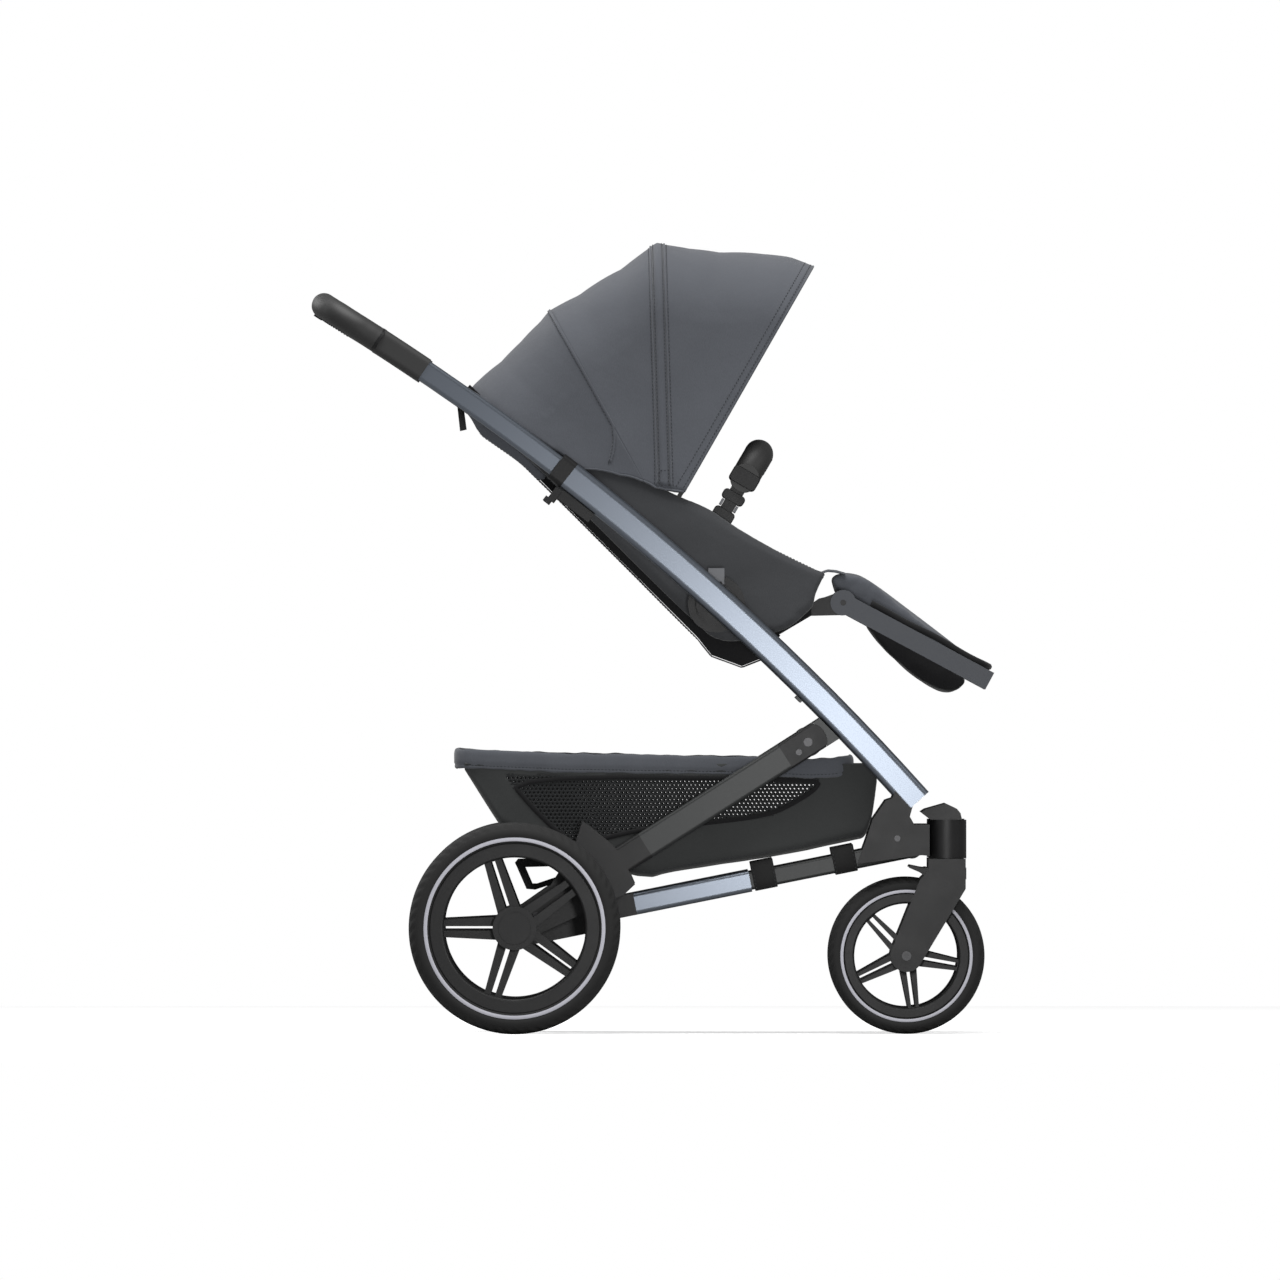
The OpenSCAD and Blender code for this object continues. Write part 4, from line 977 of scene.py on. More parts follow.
def make_cushion():
    shape = [(SEAT_PIVOT[0] + x, SEAT_PIVOT[1] + z) for x, z in CUSHION]
    form = along(np.vstack([rounded(shape, 1, closed=True), rounded(shape, 1, closed=True)[:1]]), 170)[:-1]
    obj = extrude_outline("seat_cushion_cover", inset(form, 4.5), -132, 132, 24)
    air_fill(obj, 5.0, 4.0, 6.0)
    co = coordinates(obj)
    rel = co[:, [0, 2]] - SEAT_PIVOT - np.array([17, -3])
    face = normals(obj)[:, [0, 2]]
    up_back, up_seat = rel @ BACK_WAY, rel @ SEAT_WAY
    on_back = (up_back > 12) & (face @ BACK_FACE > 0.3)
    on_seat = (up_seat > 12) & (face @ SEAT_FACE > 0.3) & ~on_back
    depth = np.zeros(len(co))
    inner = 1 / (1 + np.exp((np.abs(co[:, 1]) - 104) / 2.5))
    for t in (60, 118, 176, 234, 292, 350):
        depth += np.where(on_back, 4.2 * np.exp(-((up_back - t) / 4.5) ** 2) * inner, 0)
    for t in (52, 92):
        depth += np.where(on_seat, 3.6 * np.exp(-((up_seat - t) / 4.5) ** 2) * inner, 0)
    depth += np.where(on_back | on_seat, 3.4 * np.exp(-((np.abs(co[:, 1]) - 106) / 3.5) ** 2), 0)
    way = np.where(on_back[:, None], BACK_FACE, SEAT_FACE)
    co[:, 0] -= way[:, 0] * depth
    co[:, 2] -= way[:, 1] * depth
    place(obj, co)
    finish_piece(obj, "seat", "grey_cloth", seat_cloth(), stands_for=["seat_cushion"])
    return obj


def seat_line(way, start, stop, y, count):
    """Points above the cushion, along its back or its seat, from the fold between them."""
    corner = SEAT_PIVOT + np.array([17, -3])
    return [(corner[0] + way[0] * t, y, corner[1] + way[1] * t) for t in np.linspace(start, stop, count)]


def make_harness():
    cover = bpy.data.objects["seat_cushion_cover"]
    bpy.context.view_layer.update()
    back, seat = (-BACK_FACE[0], 0, -BACK_FACE[1]), (-SEAT_FACE[0], 0, -SEAT_FACE[1])
    pieces = []
    for side, word in ((-1, "right"), (1, "left")):
        y = side * 45
        strap = around(cover, seat_line(BACK_WAY, 62, 300, y, 60), back, lift=1.4)
        pieces.append(sweep(f"shoulder_strap_{word}", strap, strip_profile(28, 1.8), up=(0.7071, 0, 0.7071)))
        pad_line = along(around(cover, seat_line(BACK_WAY, 150, 262, y, 24), back, lift=6.0), 16)
        pad = sweep(f"shoulder_pad_{word}", pad_line, [(-19, -3), (-15, -4), (15, -4), (19, -3), (20, 0), (17, 3.4),
                                                        (8, 4.4), (0, 4.7), (-8, 4.4), (-17, 3.4), (-20, 0)],
                                                        up=(0.7071, 0, 0.7071))
        more = pad.modifiers.new("soft", "SUBSURF")
        more.levels = more.render_levels = 1
        apply_modifiers(pad)
        finish_piece(pad, "seat", "webbing", seat_cloth())
        waist = around(cover, [(SEAT_PIVOT[0] + 26 + 20 * u, side * (24 + 84 * u), SEAT_PIVOT[1] + 2 + 8 * u)
                               for u in np.linspace(0, 1, 24)], seat, lift=1.6)
        pieces.append(sweep(f"waist_strap_{word}", waist, strip_profile(24, 1.8), up=(-0.314, 0, 0.949)))
    crotch = around(cover, seat_line(SEAT_WAY, 26, 92, 0, 24), seat, lift=1.6)
    pieces.append(sweep("crotch_strap", crotch, strip_profile(28, 1.8), up=(-0.314, 0, 0.949)))
    for piece in pieces:
        finish_piece(piece, "seat", "webbing", webbing())
    spot = np.array(crotch[0]) + np.array([0, 0, 6.5])
    bpy.ops.mesh.primitive_cube_add(size=2)
    buckle = bpy.context.object
    buckle.name = "harness_buckle"
    co = coordinates(buckle) / 1000
    tilt = math.radians(18.3)
    co = co * np.array([21, 22, 5.5])
    turned = np.stack([co[:, 0] * math.cos(tilt) - co[:, 2] * math.sin(tilt), co[:, 1],
                       co[:, 0] * math.sin(tilt) + co[:, 2] * math.cos(tilt)], 1)
    place(buckle, turned + spot)
    bm = bmesh.new()
    bm.from_mesh(buckle.data)
    bmesh.ops.bevel(bm, geom=bm.edges[:], offset=3.4 * MM, segments=4, affect="EDGES", profile=0.6)
    tops = [f for f in bm.faces if f.normal.dot(Vector((-0.314, 0, 0.949))) > 0.98 and f.calc_area() > 1e-4]
    bmesh.ops.inset_region(bm, faces=tops, thickness=5.5 * MM)
    bmesh.ops.inset_region(bm, faces=tops, thickness=0.8 * MM, depth=-1.2 * MM)
    bmesh.ops.inset_region(bm, faces=tops, thickness=0.8 * MM, depth=1.0 * MM)
    bm.to_mesh(buckle.data)
    bm.free()
    buckle.data.shade_smooth()
    finish_piece(buckle, "seat", "black_plastic", moulding(), stands_for=["harness"])


CALF_PAD = [(-23, 27), (-23, 38), (-10, 45), (10, 41), (24, 37.5), (51, 19.5), (78, -1), (122, -34), (189, -86),
            (182, -96), (12, -3), (-12, 14)]
CALF_POUCH = [(21, -11), (180, -99), (172, -116), (144, -132), (78, -87), (27, -30)]
CALF_TILT = math.radians(-28.2)


def calf_point(run, up, y):
    """Place on the calf rest: run along its frame from the hinge, up square to it."""
    return (CALF_PIVOT[0] + run * math.cos(CALF_TILT) - up * math.sin(CALF_TILT), y,
            CALF_PIVOT[1] + run * math.sin(CALF_TILT) + up * math.cos(CALF_TILT))


def make_calf_rest():
    shape = [(CALF_PIVOT[0] + x, CALF_PIVOT[1] + z) for x, z in CALF_PAD]
    form = along(np.vstack([rounded(shape, 2, closed=True), rounded(shape, 2, closed=True)[:1]]), 120)[:-1]
    pad = extrude_outline("calf_pad_cover", inset(form, 3.8), -133, 133, 24)
    air_fill(pad, 5.0, 3.6, 4.4)
    finish_piece(pad, "calf_rest", "grey_cloth", hood_cloth(), stands_for=["calf_pad"])
    shape = [(CALF_PIVOT[0] + x, CALF_PIVOT[1] + z) for x, z in CALF_POUCH]
    form = along(np.vstack([rounded(shape, 2, closed=True), rounded(shape, 2, closed=True)[:1]]), 110)[:-1]
    pouch = extrude_outline("calf_pouch", inset(form, 3.0), -132, 132, 22)
    air_fill(pouch, 5.5, 3.0, 3.6)
    co = coordinates(pouch)
    place(pouch, co + normals(pouch) * (ripple(co, 42, 9) * 1.3)[:, None] - normals(pouch) * 0.9)
    finish_piece(pouch, "calf_rest", "dark_cloth", lining_cloth(), stands_for=["calf_backing"])
    bridge = []
    for x, z in along([(219, 622), (229, 633), (240, 637), (252, 636), (264, 632.5)], 14):
        bridge += [(x, y, z - 2.0 * (abs(y) / 136) ** 4) for y in np.linspace(-136, 136, 31)]
    cloth = new_object("calf_bridge", bridge, grid(14, 31))
    outward(cloth, (240, 0, 560))
    thicken(cloth, 1.6)
    finish_piece(cloth, None, "grey_cloth", hood_cloth())
    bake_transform(cloth)
    line = []
    for y, runs in ((-154, np.linspace(34, 205, 40)), (154, np.linspace(205, 34, 40))):
        side = [calf_point(t, 17.2 + 1.0 * math.sin(t / 17) * min(1, (t - 34) / 60), y) for t in runs]
        if y < 0:
            line += side + [calf_point(214 + 3 * math.sin(math.pi * u), 17.2, -150 + 300 * u)
                            for u in np.linspace(0.03, 0.97, 30)]
        else:
            line += side
    edge = sweep("calf_edge_binding", along(rounded(line, 1), 150), strip_profile(11, 8.5, 2.4),
                 up=(-math.sin(CALF_TILT), 0, math.cos(CALF_TILT)))
    finish_piece(edge, "calf_rest", "dark_cloth", lining_cloth())


# ---------------------------------------------------------------- covers under the seat
BACK_UNDER = [(-357, 281), (-337, 261.5), (-323.5, 234), (-268.6, 195.8), (-200, 128), (-110, 38), (-26.6, -46.3)]
SEAT_UNDER = [(-26.6, -46.3), (-6.4, -71), (35.2, -86.2), (63.8, -74.8), (87, -42.2)]


def cover_strip(name, outline, seams, depth, seed, *materials):
    """A cloth cover under the seat, slack between its side seams."""
    line = along([(SEAT_PIVOT[0] + x, SEAT_PIVOT[1] + z) for x, z in outline], 46)
    ys = np.linspace(-157, 157, 43)
    run = np.gradient(line, axis=0)
    out = np.stack([run[:, 1], -run[:, 0]], 1) / np.linalg.norm(run, axis=1, keepdims=True)
    if out[20, 1] > 0:
        out = -out
    points = []
    for i, (x, z) in enumerate(line):
        for y in ys:
            slack = depth * (1 - (abs(y) / 157) ** 6) * (0.6
                                                         + 0.4 * noise.noise(Vector((x / 60, y / 45,
                                                             seed)))) * min(1, i / 4, (45 - i) / 4)
            crease = sum(1.6 * math.exp(-((y - c) / 3) ** 2) for c in seams)
            lift = -0.3 + max(0.0, slack - crease)
            points.append((x + out[i, 0] * lift, y, z + out[i, 1] * lift))
    obj = new_object(name, points, grid(46, 43))
    outward(obj, (SEAT_PIVOT[0] + 60, 0, SEAT_PIVOT[1] + 120))
    thicken(obj, 1.3, offset=1.0)
    obj.data.shade_smooth()
    finish_piece(obj, "seat", "dark_cloth", *materials)
    return obj


def make_seat_covers():
    wrap = [(-359.5, 280.5), (-352, 270), (-339.5, 261), (-325, 233.5), (-269.5, 195), (-238, 163.5), (-228, 194),
            (-251, 217.4), (-337, 303.4)]
    form = along(np.vstack([rounded(wrap, 1, closed=True), rounded(wrap, 1, closed=True)[:1]]), 90)[:-1]
    head = extrude_outline("head_wrap", [(SEAT_PIVOT[0] + x, SEAT_PIVOT[1] + z) for x, z in form], -158.6, 158.6, 40)
    co = coordinates(head)
    place(head, co + normals(head) * (ripple(co, 30, 14) * 0.5)[:, None])
    finish_piece(head, "seat", "grey_cloth", hood_cloth())
    back = cover_strip("back_cover", BACK_UNDER, (-80, 80), 0.9, 2, lining_cloth(), hood_cloth())
    grey = [int(p.center.x / MM < SEAT_PIVOT[0] - 262) for p in back.data.polygons]
    back.data.polygons.foreach_set("material_index", grey)
    base = cover_strip("base_cover", SEAT_UNDER, (-60, 60), 0.8, 6, lining_cloth(), seat_cloth())
    grey = [int(p.center.x / MM < SEAT_PIVOT[0] + 34) for p in base.data.polygons]
    base.data.polygons.foreach_set("material_index", grey)
    rows = []
    for y in (-83, -77, 77, 83):
        rows.append(around(back, [(SEAT_PIVOT[0] + x, y, SEAT_PIVOT[1] + z) for x, z in along(BACK_UNDER[2:], 60)],
                           (0.7071, 0, 0.7071)))
    finish_piece(stitches("back_stitches", rows), "seat", "dark_cloth", thread())


# ---------------------------------------------------------------- handle grip and bumper
ARC_AT, ARC_R = np.array([-2355.651, -2112.344]), 3647.0
BEND = math.radians(58.5158) - 60 / ARC_R
GRIP_Y, GRIP_BEND, GRIP_D = 222.0, 60.0, 35.0
BUMPER_TILT, BUMPER_Y, BUMPER_REACH, BUMPER_BEND, BUMPER_D = math.radians(59.7), 149.5, 38.0, 32.0, 39.0


def u_path(start, y, bend, count):
    """A U from (start, -y) round two corners to (start, y), as (along, across) pairs."""
    side = [(t, -y) for t in np.linspace(start, 0, 8)[:-1]]
    turn = [(bend * math.sin(a), -y + bend * (1 - math.cos(a))) for a in np.linspace(0, math.pi / 2, 24)]
    half = side + turn
    across = [(bend, t) for t in np.linspace(-y + bend, y - bend, 60)[1:-1]]
    return along(half + across + [(a, -b) for a, b in reversed(half)], count)


def on_bend(along_tube, out, y):
    """Place by the handle's corner: along the tube, outwards from the curve's centre, and across."""
    c, s = math.cos(BEND), math.sin(BEND)
    return (ARC_AT[0] + (ARC_R + out) * c - along_tube * s, y, ARC_AT[1] + (ARC_R + out) * s + along_tube * c)


def on_bumper(ahead, up, y):
    c, s = math.cos(BUMPER_TILT), math.sin(BUMPER_TILT)
    return (BUMPER_PIVOT[0] + ahead * c - up * s, y, BUMPER_PIVOT[1] + ahead * s + up * c)


def padded_tube(name, path, radius, up):
    """A foam-filled tube cover, a little slack between its ends; the stitches of its seam are made apart from it."""
    obj = sweep(name, path, ring(radius, 36), up=up)
    co = coordinates(obj)
    place(obj, co + normals(obj) * (ripple(co, 26, 4) * 0.22 + ripple(co, 9, 8) * 0.1)[:, None])
    return obj


def make_grip():
    path = [on_bend(a, 0, y) for a, y in u_path(-29, GRIP_Y, GRIP_BEND, 260)]
    out = (math.cos(BEND), 0.0, math.sin(BEND))
    grip = padded_tube("grip_cover", path, GRIP_D / 2 - 0.2, out)
    finish_piece(grip, "handle", "leatherette", leatherette(), stands_for=["handle_grip"])
    rows = []
    for offset in (-2.2, 2.2):
        line = [on_bend(a - offset, -GRIP_D / 2 - 0.1, y) for a, y in u_path(-27, GRIP_Y, GRIP_BEND, 260)
                if abs(y) > 27 and abs(y) < GRIP_Y - 2]
        rows += [[p for p in line if p[1] < 0], [p for p in line if p[1] > 0]]
    finish_piece(stitches("grip_stitches", rows), "handle", "leatherette", thread())
    for side, word in ((-1, "right"), (1, "left")):
        cuff = sweep(f"grip_cuff_{word}", [on_bend(a, 0, side * GRIP_Y) for a in (-31.5, -31.0, -27.0, -26.4)],
                     ring(GRIP_D / 2 + 0.25, 36), up=out)
        finish_piece(cuff, "handle", "black_plastic", moulding())


def round_box(x0, x1, z0, z1, r):
    """Rectangle with round corners."""
    outline = []
    for cx, cz, first in ((x1 - r, z1 - r, 0), (x0 + r, z1 - r, 90), (x0 + r, z0 + r, 180), (x1 - r, z0 + r, 270)):
        outline += [(cx + r * math.cos(math.radians(first + a)), cz + r * math.sin(math.radians(first + a)))
                    for a in range(0, 91, 10)]
    return outline


def make_bumper():
    path = [on_bumper(BUMPER_REACH - BUMPER_BEND + a, 0, y) for a, y in u_path(0, BUMPER_Y, BUMPER_BEND, 200)]
    up = (-math.sin(BUMPER_TILT), 0.0, math.cos(BUMPER_TILT))
    cover = padded_tube("bumper_cover", path, BUMPER_D / 2 + 0.45, up)
    finish_piece(cover, "bumper", "leatherette", leatherette())
    rows = []
    for offset in (-2.4, 2.4):
        rows.append([on_bumper(BUMPER_REACH - BUMPER_BEND + a + offset, -BUMPER_D / 2 - 0.5, y)
                     for a, y in u_path(0, BUMPER_Y, BUMPER_BEND, 200) if abs(y) < BUMPER_Y - 3])
    finish_piece(stitches("bumper_stitches", rows), "bumper", "leatherette", thread())
    for side, word in ((-1, "right"), (1, "left")):
        for name, body, start, stop, half, y0, y1 in (
                ("knuckle_cover", "bumper", -11.5, 11, 20.3, 128.6, 170.4),
                ("adapter_collar", "seat", -37.5, -23.5, 16.5, 139.5, 159.5),
                ("adapter_sleeve", "seat", -82, -50, 15.5, 140.5, 158.5)):
            outline = round_box(start, stop, -half, half, 5.5)
            shape = [(p[0], p[2]) for p in (on_bumper(a, b, 0) for a, b in outline)]
            middle = np.mean(shape, axis=0)
            ys = sorted((side * y0, side * y1))
            rows_of = [(ys[0], 0.93), (ys[0] + 1.5, 1.0), (ys[1] - 1.5, 1.0), (ys[1], 0.93)]
            points = [(middle[0] + (x - middle[0]) * k, y, middle[1] + (z - middle[1]) * k) for y, k in rows_of
                      for x, z in shape]
            m = len(shape)
            cover = new_object(f"{name}_{word}", points, grid(4, m, close_cols=True)
                               + [tuple(range(m)), tuple(range(3 * m, 4 * m))], smooth=False)
            finish_piece(cover, body, "black_plastic", moulding())


# ---------------------------------------------------------------- basket
BASKET_LOW = [(-258, 363), (-214, 293), (-203, 279), (-18, 211), (30, 225), (174, 245), (278, 268), (291, 270),
              (300, 295), (304, 321), (307, 345)]
BASKET_TOP = 370.0
NET_EDGE = [(-202, 354), (228, 349), (226, 338), (202, 321), (161, 300), (76, 289), (0, 283), (-70, 268), (-100, 255),
            (-128, 274), (-165, 310)]
BAND_TOP = [(-270, 391), (-127, 385), (119, 381), (218, 377), (245, 378), (273, 382)]
RAIL_TILT = math.atan2(RAIL_PIVOT[1] - REAR_AXLE[1], RAIL_PIVOT[0] - REAR_AXLE[0])


def basket_half(x, z):
    """Half width of the basket's wall at a place in side view."""
    low = table(BASKET_LOW, x)
    rise = min(1.0, max(0.0, (z - low) / max(BASKET_TOP - low, 1)))
    return 195.5 + 6.5 * rise - 2.2 * math.sin(math.pi * rise) + 0.9 * noise.noise(Vector((x / 60, z / 38, 2)))


def fold_basket(obj):
    """Gives a basket piece a mesh of its own."""
    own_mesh(obj)


def within(point, outline):
    x, z = point
    inside = False
    for (x0, z0), (x1, z1) in zip(outline, outline[1:] + outline[:1]):
        if (z0 > z) != (z1 > z) and x < (x1 - x0) * (z - z0) / (z1 - z0) + x0:
            inside = not inside
    return inside


def make_basket():
    spine = along(rounded(BASKET_LOW, 2), 170)
    rows, cols = len(spine), 121
    points = []
    for x, z in spine:
        wall = max(BASKET_TOP - z, 0.5)
        corner = min(14.0, wall * 0.45)
        run = np.linspace(-1, 1, cols)
        for s in run:
            side, t = (-1 if s < 0 else 1), 1 - abs(s)
            if t < 0.42:
                up = BASKET_TOP - (wall - corner) * (t / 0.42)
                y = basket_half(x, up)
            elif t < 0.52:
                a = (t - 0.42) / 0.10 * math.pi / 2
                up = z + corner * (1 - math.sin(a))
                y = basket_half(x, z + corner) - corner * (1 - math.cos(a))
            else:
                y = (basket_half(x, z + corner) - corner) * (1 - (t - 0.52) / 0.48)
                up = z - 2.2 * math.cos(y / 190 * math.pi / 2) + 0.8 * noise.noise(Vector((x / 50, y / 50, 0)))
            points.append((x, side * y, up))
    shell = new_object("basket_cloth", points, grid(rows, cols))
    outward(shell, (20, 0, 340))
    bm = bmesh.new()
    bm.from_mesh(shell.data)
    window = [f for f in bm.faces if abs(f.calc_center_median().y) > 0.17 and abs(f.normal.y) > 0.6
              and within((f.calc_center_median().x / MM, f.calc_center_median().z / MM), NET_EDGE)]
    bmesh.ops.delete(bm, geom=window, context="FACES")
    bm.to_mesh(shell.data)
    bm.free()
    thicken(shell, BASKET_THICKNESS)
    finish_piece(shell, "rail_front", "dark_cloth", basket_cloth(), stands_for=["basket_shell"])
    fold_basket(shell)

    pitch, yarn = bpy.context.scene.pushchair_trim.mesh_pitch / MM, bpy.context.scene.pushchair_trim.yarn / MM
    for side, word in ((-1, "right"), (1, "left")):
        side_points, edges, known = [], [], {}

        def spot(x, z):
            key = (round(x, 2), round(z, 2))
            if key not in known:
                known[key] = len(side_points)
                side_points.append((x * MM, side * (basket_half(x, z) - 0.8) * MM, z * MM))
            return known[key]

        reach = pitch / math.sqrt(3)
        row_step, number = pitch * math.sqrt(3) / 2, 0
        z = NET_SPAN_Z[0]
        while z < NET_SPAN_Z[1]:
            # the left net is set off by a third of the pitch, so that the two don't line up
            x = NET_SPAN_X[0] + (number % 2) * pitch / 2 + (pitch / 3 if side > 0 else 0)
            while x < NET_SPAN_X[1]:
                corners = [(x + reach * math.sin(k * math.pi / 3), z + reach * math.cos(k * math.pi / 3))
                           for k in range(4)]
                for p, q in zip(corners, corners[1:]):
                    if within(p, NET_EDGE) or within(q, NET_EDGE):
                        a, b = spot(*p), spot(*q)
                        edges.append((min(a, b), max(a, b)))
                x += pitch
            z += row_step
            number += 1
        mesh = bpy.data.meshes.new("net")
        mesh.from_pydata(side_points, sorted(set(edges)), [])
        net = bpy.data.objects.new(f"basket_net_{word}", mesh)
        bpy.context.scene.collection.objects.link(net)
        run_tree(net, yarn_tree(), Yarn=yarn * MM / 2, Material=net_cloth())
        finish_piece(net, "rail_front", "dark_cloth", net_cloth())
        fold_basket(net)
        outline = along(np.vstack([rounded(NET_EDGE, 2, closed=True), rounded(NET_EDGE, 2, closed=True)[:1]]),
                        220)[:-1]
        piping = sweep(f"basket_window_piping_{word}", [(x, side * (basket_half(x, z) + 0.4), z) for x, z in outline],
                       strip_profile(6.5, 2.4, 0.9), up=(0, side, 0), closed=True)
        finish_piece(piping, "rail_front", "dark_cloth", lining_cloth())
        fold_basket(piping)
        hem = [(x, side * (basket_half(x, z + 6) + 0.3), z + 5) for x, z in along(rounded(BASKET_LOW[1:-1], 2), 200)]
        row = stitches(f"basket_stitches_{word}", [hem])
        finish_piece(row, "rail_front", "dark_cloth", thread())
        fold_basket(row)


def yarn_tree():
    """Round yarn along every edge of a net."""
    name = "net_yarn"
    if name in bpy.data.node_groups:
        return bpy.data.node_groups[name]
    tree = bpy.data.node_groups.new(name, "GeometryNodeTree")
    tree.interface.new_socket("Geometry", in_out="INPUT", socket_type="NodeSocketGeometry")
    tree.interface.new_socket("Yarn", in_out="INPUT", socket_type="NodeSocketFloat").default_value = 0.001
    tree.interface.new_socket("Material", in_out="INPUT", socket_type="NodeSocketMaterial")
    tree.interface.new_socket("Geometry", in_out="OUTPUT", socket_type="NodeSocketGeometry")
    link, make = tree.links.new, tree.nodes.new
    inp, out = make("NodeGroupInput"), make("NodeGroupOutput")
    curve, tube, circle = make("GeometryNodeMeshToCurve"), make("GeometryNodeCurveToMesh"), make("GeometryNodeCurvePrimitiveCircle")
    circle.inputs["Resolution"].default_value = 5
    link(inp.outputs["Yarn"], circle.inputs["Radius"])
    link(inp.outputs["Geometry"], curve.inputs[0])
    link(curve.outputs[0], tube.inputs["Curve"])
    link(circle.outputs[0], tube.inputs["Profile Curve"])
    tube.inputs["Fill Caps"].default_value = True
    real, paint = make("GeometryNodeRealizeInstances"), make("GeometryNodeSetMaterial")
    link(tube.outputs[0], real.inputs[0])
    link(real.outputs[0], paint.inputs["Geometry"])
    link(inp.outputs["Material"], paint.inputs["Material"])
    link(paint.outputs[0], out.inputs[0])
    return tree


def make_basket_band():
    half_x, half_y, r, mid = 270.0, 203.0 - 3.2, 24.0, 1.5
    plan = []
    for cx, cy, a0 in ((1, 1, 0), (-1, 1, 90), (-1, -1, 180), (1, -1, 270)):
        plan += [(mid + cx * (half_x - r) + r * math.cos(math.radians(a0 + a)), cy * (half_y - r)
                  + r * math.sin(math.radians(a0 + a)))
                 for a in range(0, 91, 9)]
    plan = along(plan + plan[:1], 421)[:-1]
    path = [(x, y, table(BAND_TOP, x) - 13.5) for x, y in plan]
    tall = [(3.3 * math.cos(a), 13.0 * math.copysign(abs(math.sin(a)) ** 0.55, math.sin(a)))
            for a in np.linspace(0, 2 * math.pi, 29)[:-1]]
    band = sweep("basket_band", path, tall, up=(0, 0, 1), closed=True)
    co = coordinates(band)
    pucker = ripple(co * np.array([1, 1, 0.35]), 15, 11) * 0.9 + ripple(co, 46, 12) * 0.8
    high = np.array([table(BAND_TOP, x) for x in co[:, 0]])
    seam = np.exp(-((co[:, 2] - (high - 22)) / 1.4) ** 2) * 1.1
    place(band, co + normals(band) * (pucker - seam)[:, None])
    band.data.shade_smooth()
    finish_piece(band, "rail_front", "grey_cloth", hood_cloth(), stands_for=["basket_rim"])
    fold_basket(band)
    bpy.context.view_layer.update()
    rows = [[(x, y, table(BAND_TOP, x) - 22) for x, y in plan]]
    lines = []
    for row in rows:
        for side in (-1, 1):
            line = [p for p in row if p[1] * side > half_y - 1]
            line.sort()
            lines.append(around(band, line, (0, -side, 0), 40, 0.35))
    seam = stitches("basket_band_stitches", lines)
    finish_piece(seam, "rail_front", "grey_cloth", thread())
    fold_basket(seam)


def make_straps():
    c, s = math.cos(RAIL_TILT), math.sin(RAIL_TILT)
    loops, rows = [], []
    for distance, top in ((78, 22.5), (190, 25)):
        for side in (-1, 1):
            middle = -distance - 16
            w, low, high = 12.75, -14.0, top - 1.25
            ring_points = rounded([(-w, low), (w, low), (w, high), (-w, high)], 3, closed=True)
            ring_points = along(np.vstack([ring_points, ring_points[:1]]), 72)[:-1]
            path, ups = [], []
            for y, up in ring_points:
                path.append((RAIL_PIVOT[0] + middle * c - up * s, side * 185 + y, RAIL_PIVOT[1] + middle * s
                             + up * c))
                away = np.array([y / w ** 2, (up - (low + high) / 2) / ((high - low) / 2) ** 2])
                away = away / np.linalg.norm(away)
                ups.append((-away[1] * s, away[0], away[1] * c))
            loops.append((f"basket_strap_{'right' if side < 0 else 'left'}_{distance}", path, ups))
            for edge in (-13.4, 13.4):
                rows.append([(RAIL_PIVOT[0] + (middle + edge) * c - u * s, side * (185 + w + 1.35), RAIL_PIVOT[1]
                              + (middle + edge) * s + u * c)
                             for u in np.linspace(low + 3, high - 3, 12)])
    for name, path, ups in loops:
        finish_piece(sweep(name, path, strip_profile(31.5, 2.3, 0.7), up=ups, closed=True), "rail_front", "webbing",
                     webbing(),
                     stands_for=["basket_straps"])
    finish_piece(stitches("strap_stitches", rows), "rail_front", "webbing", thread())


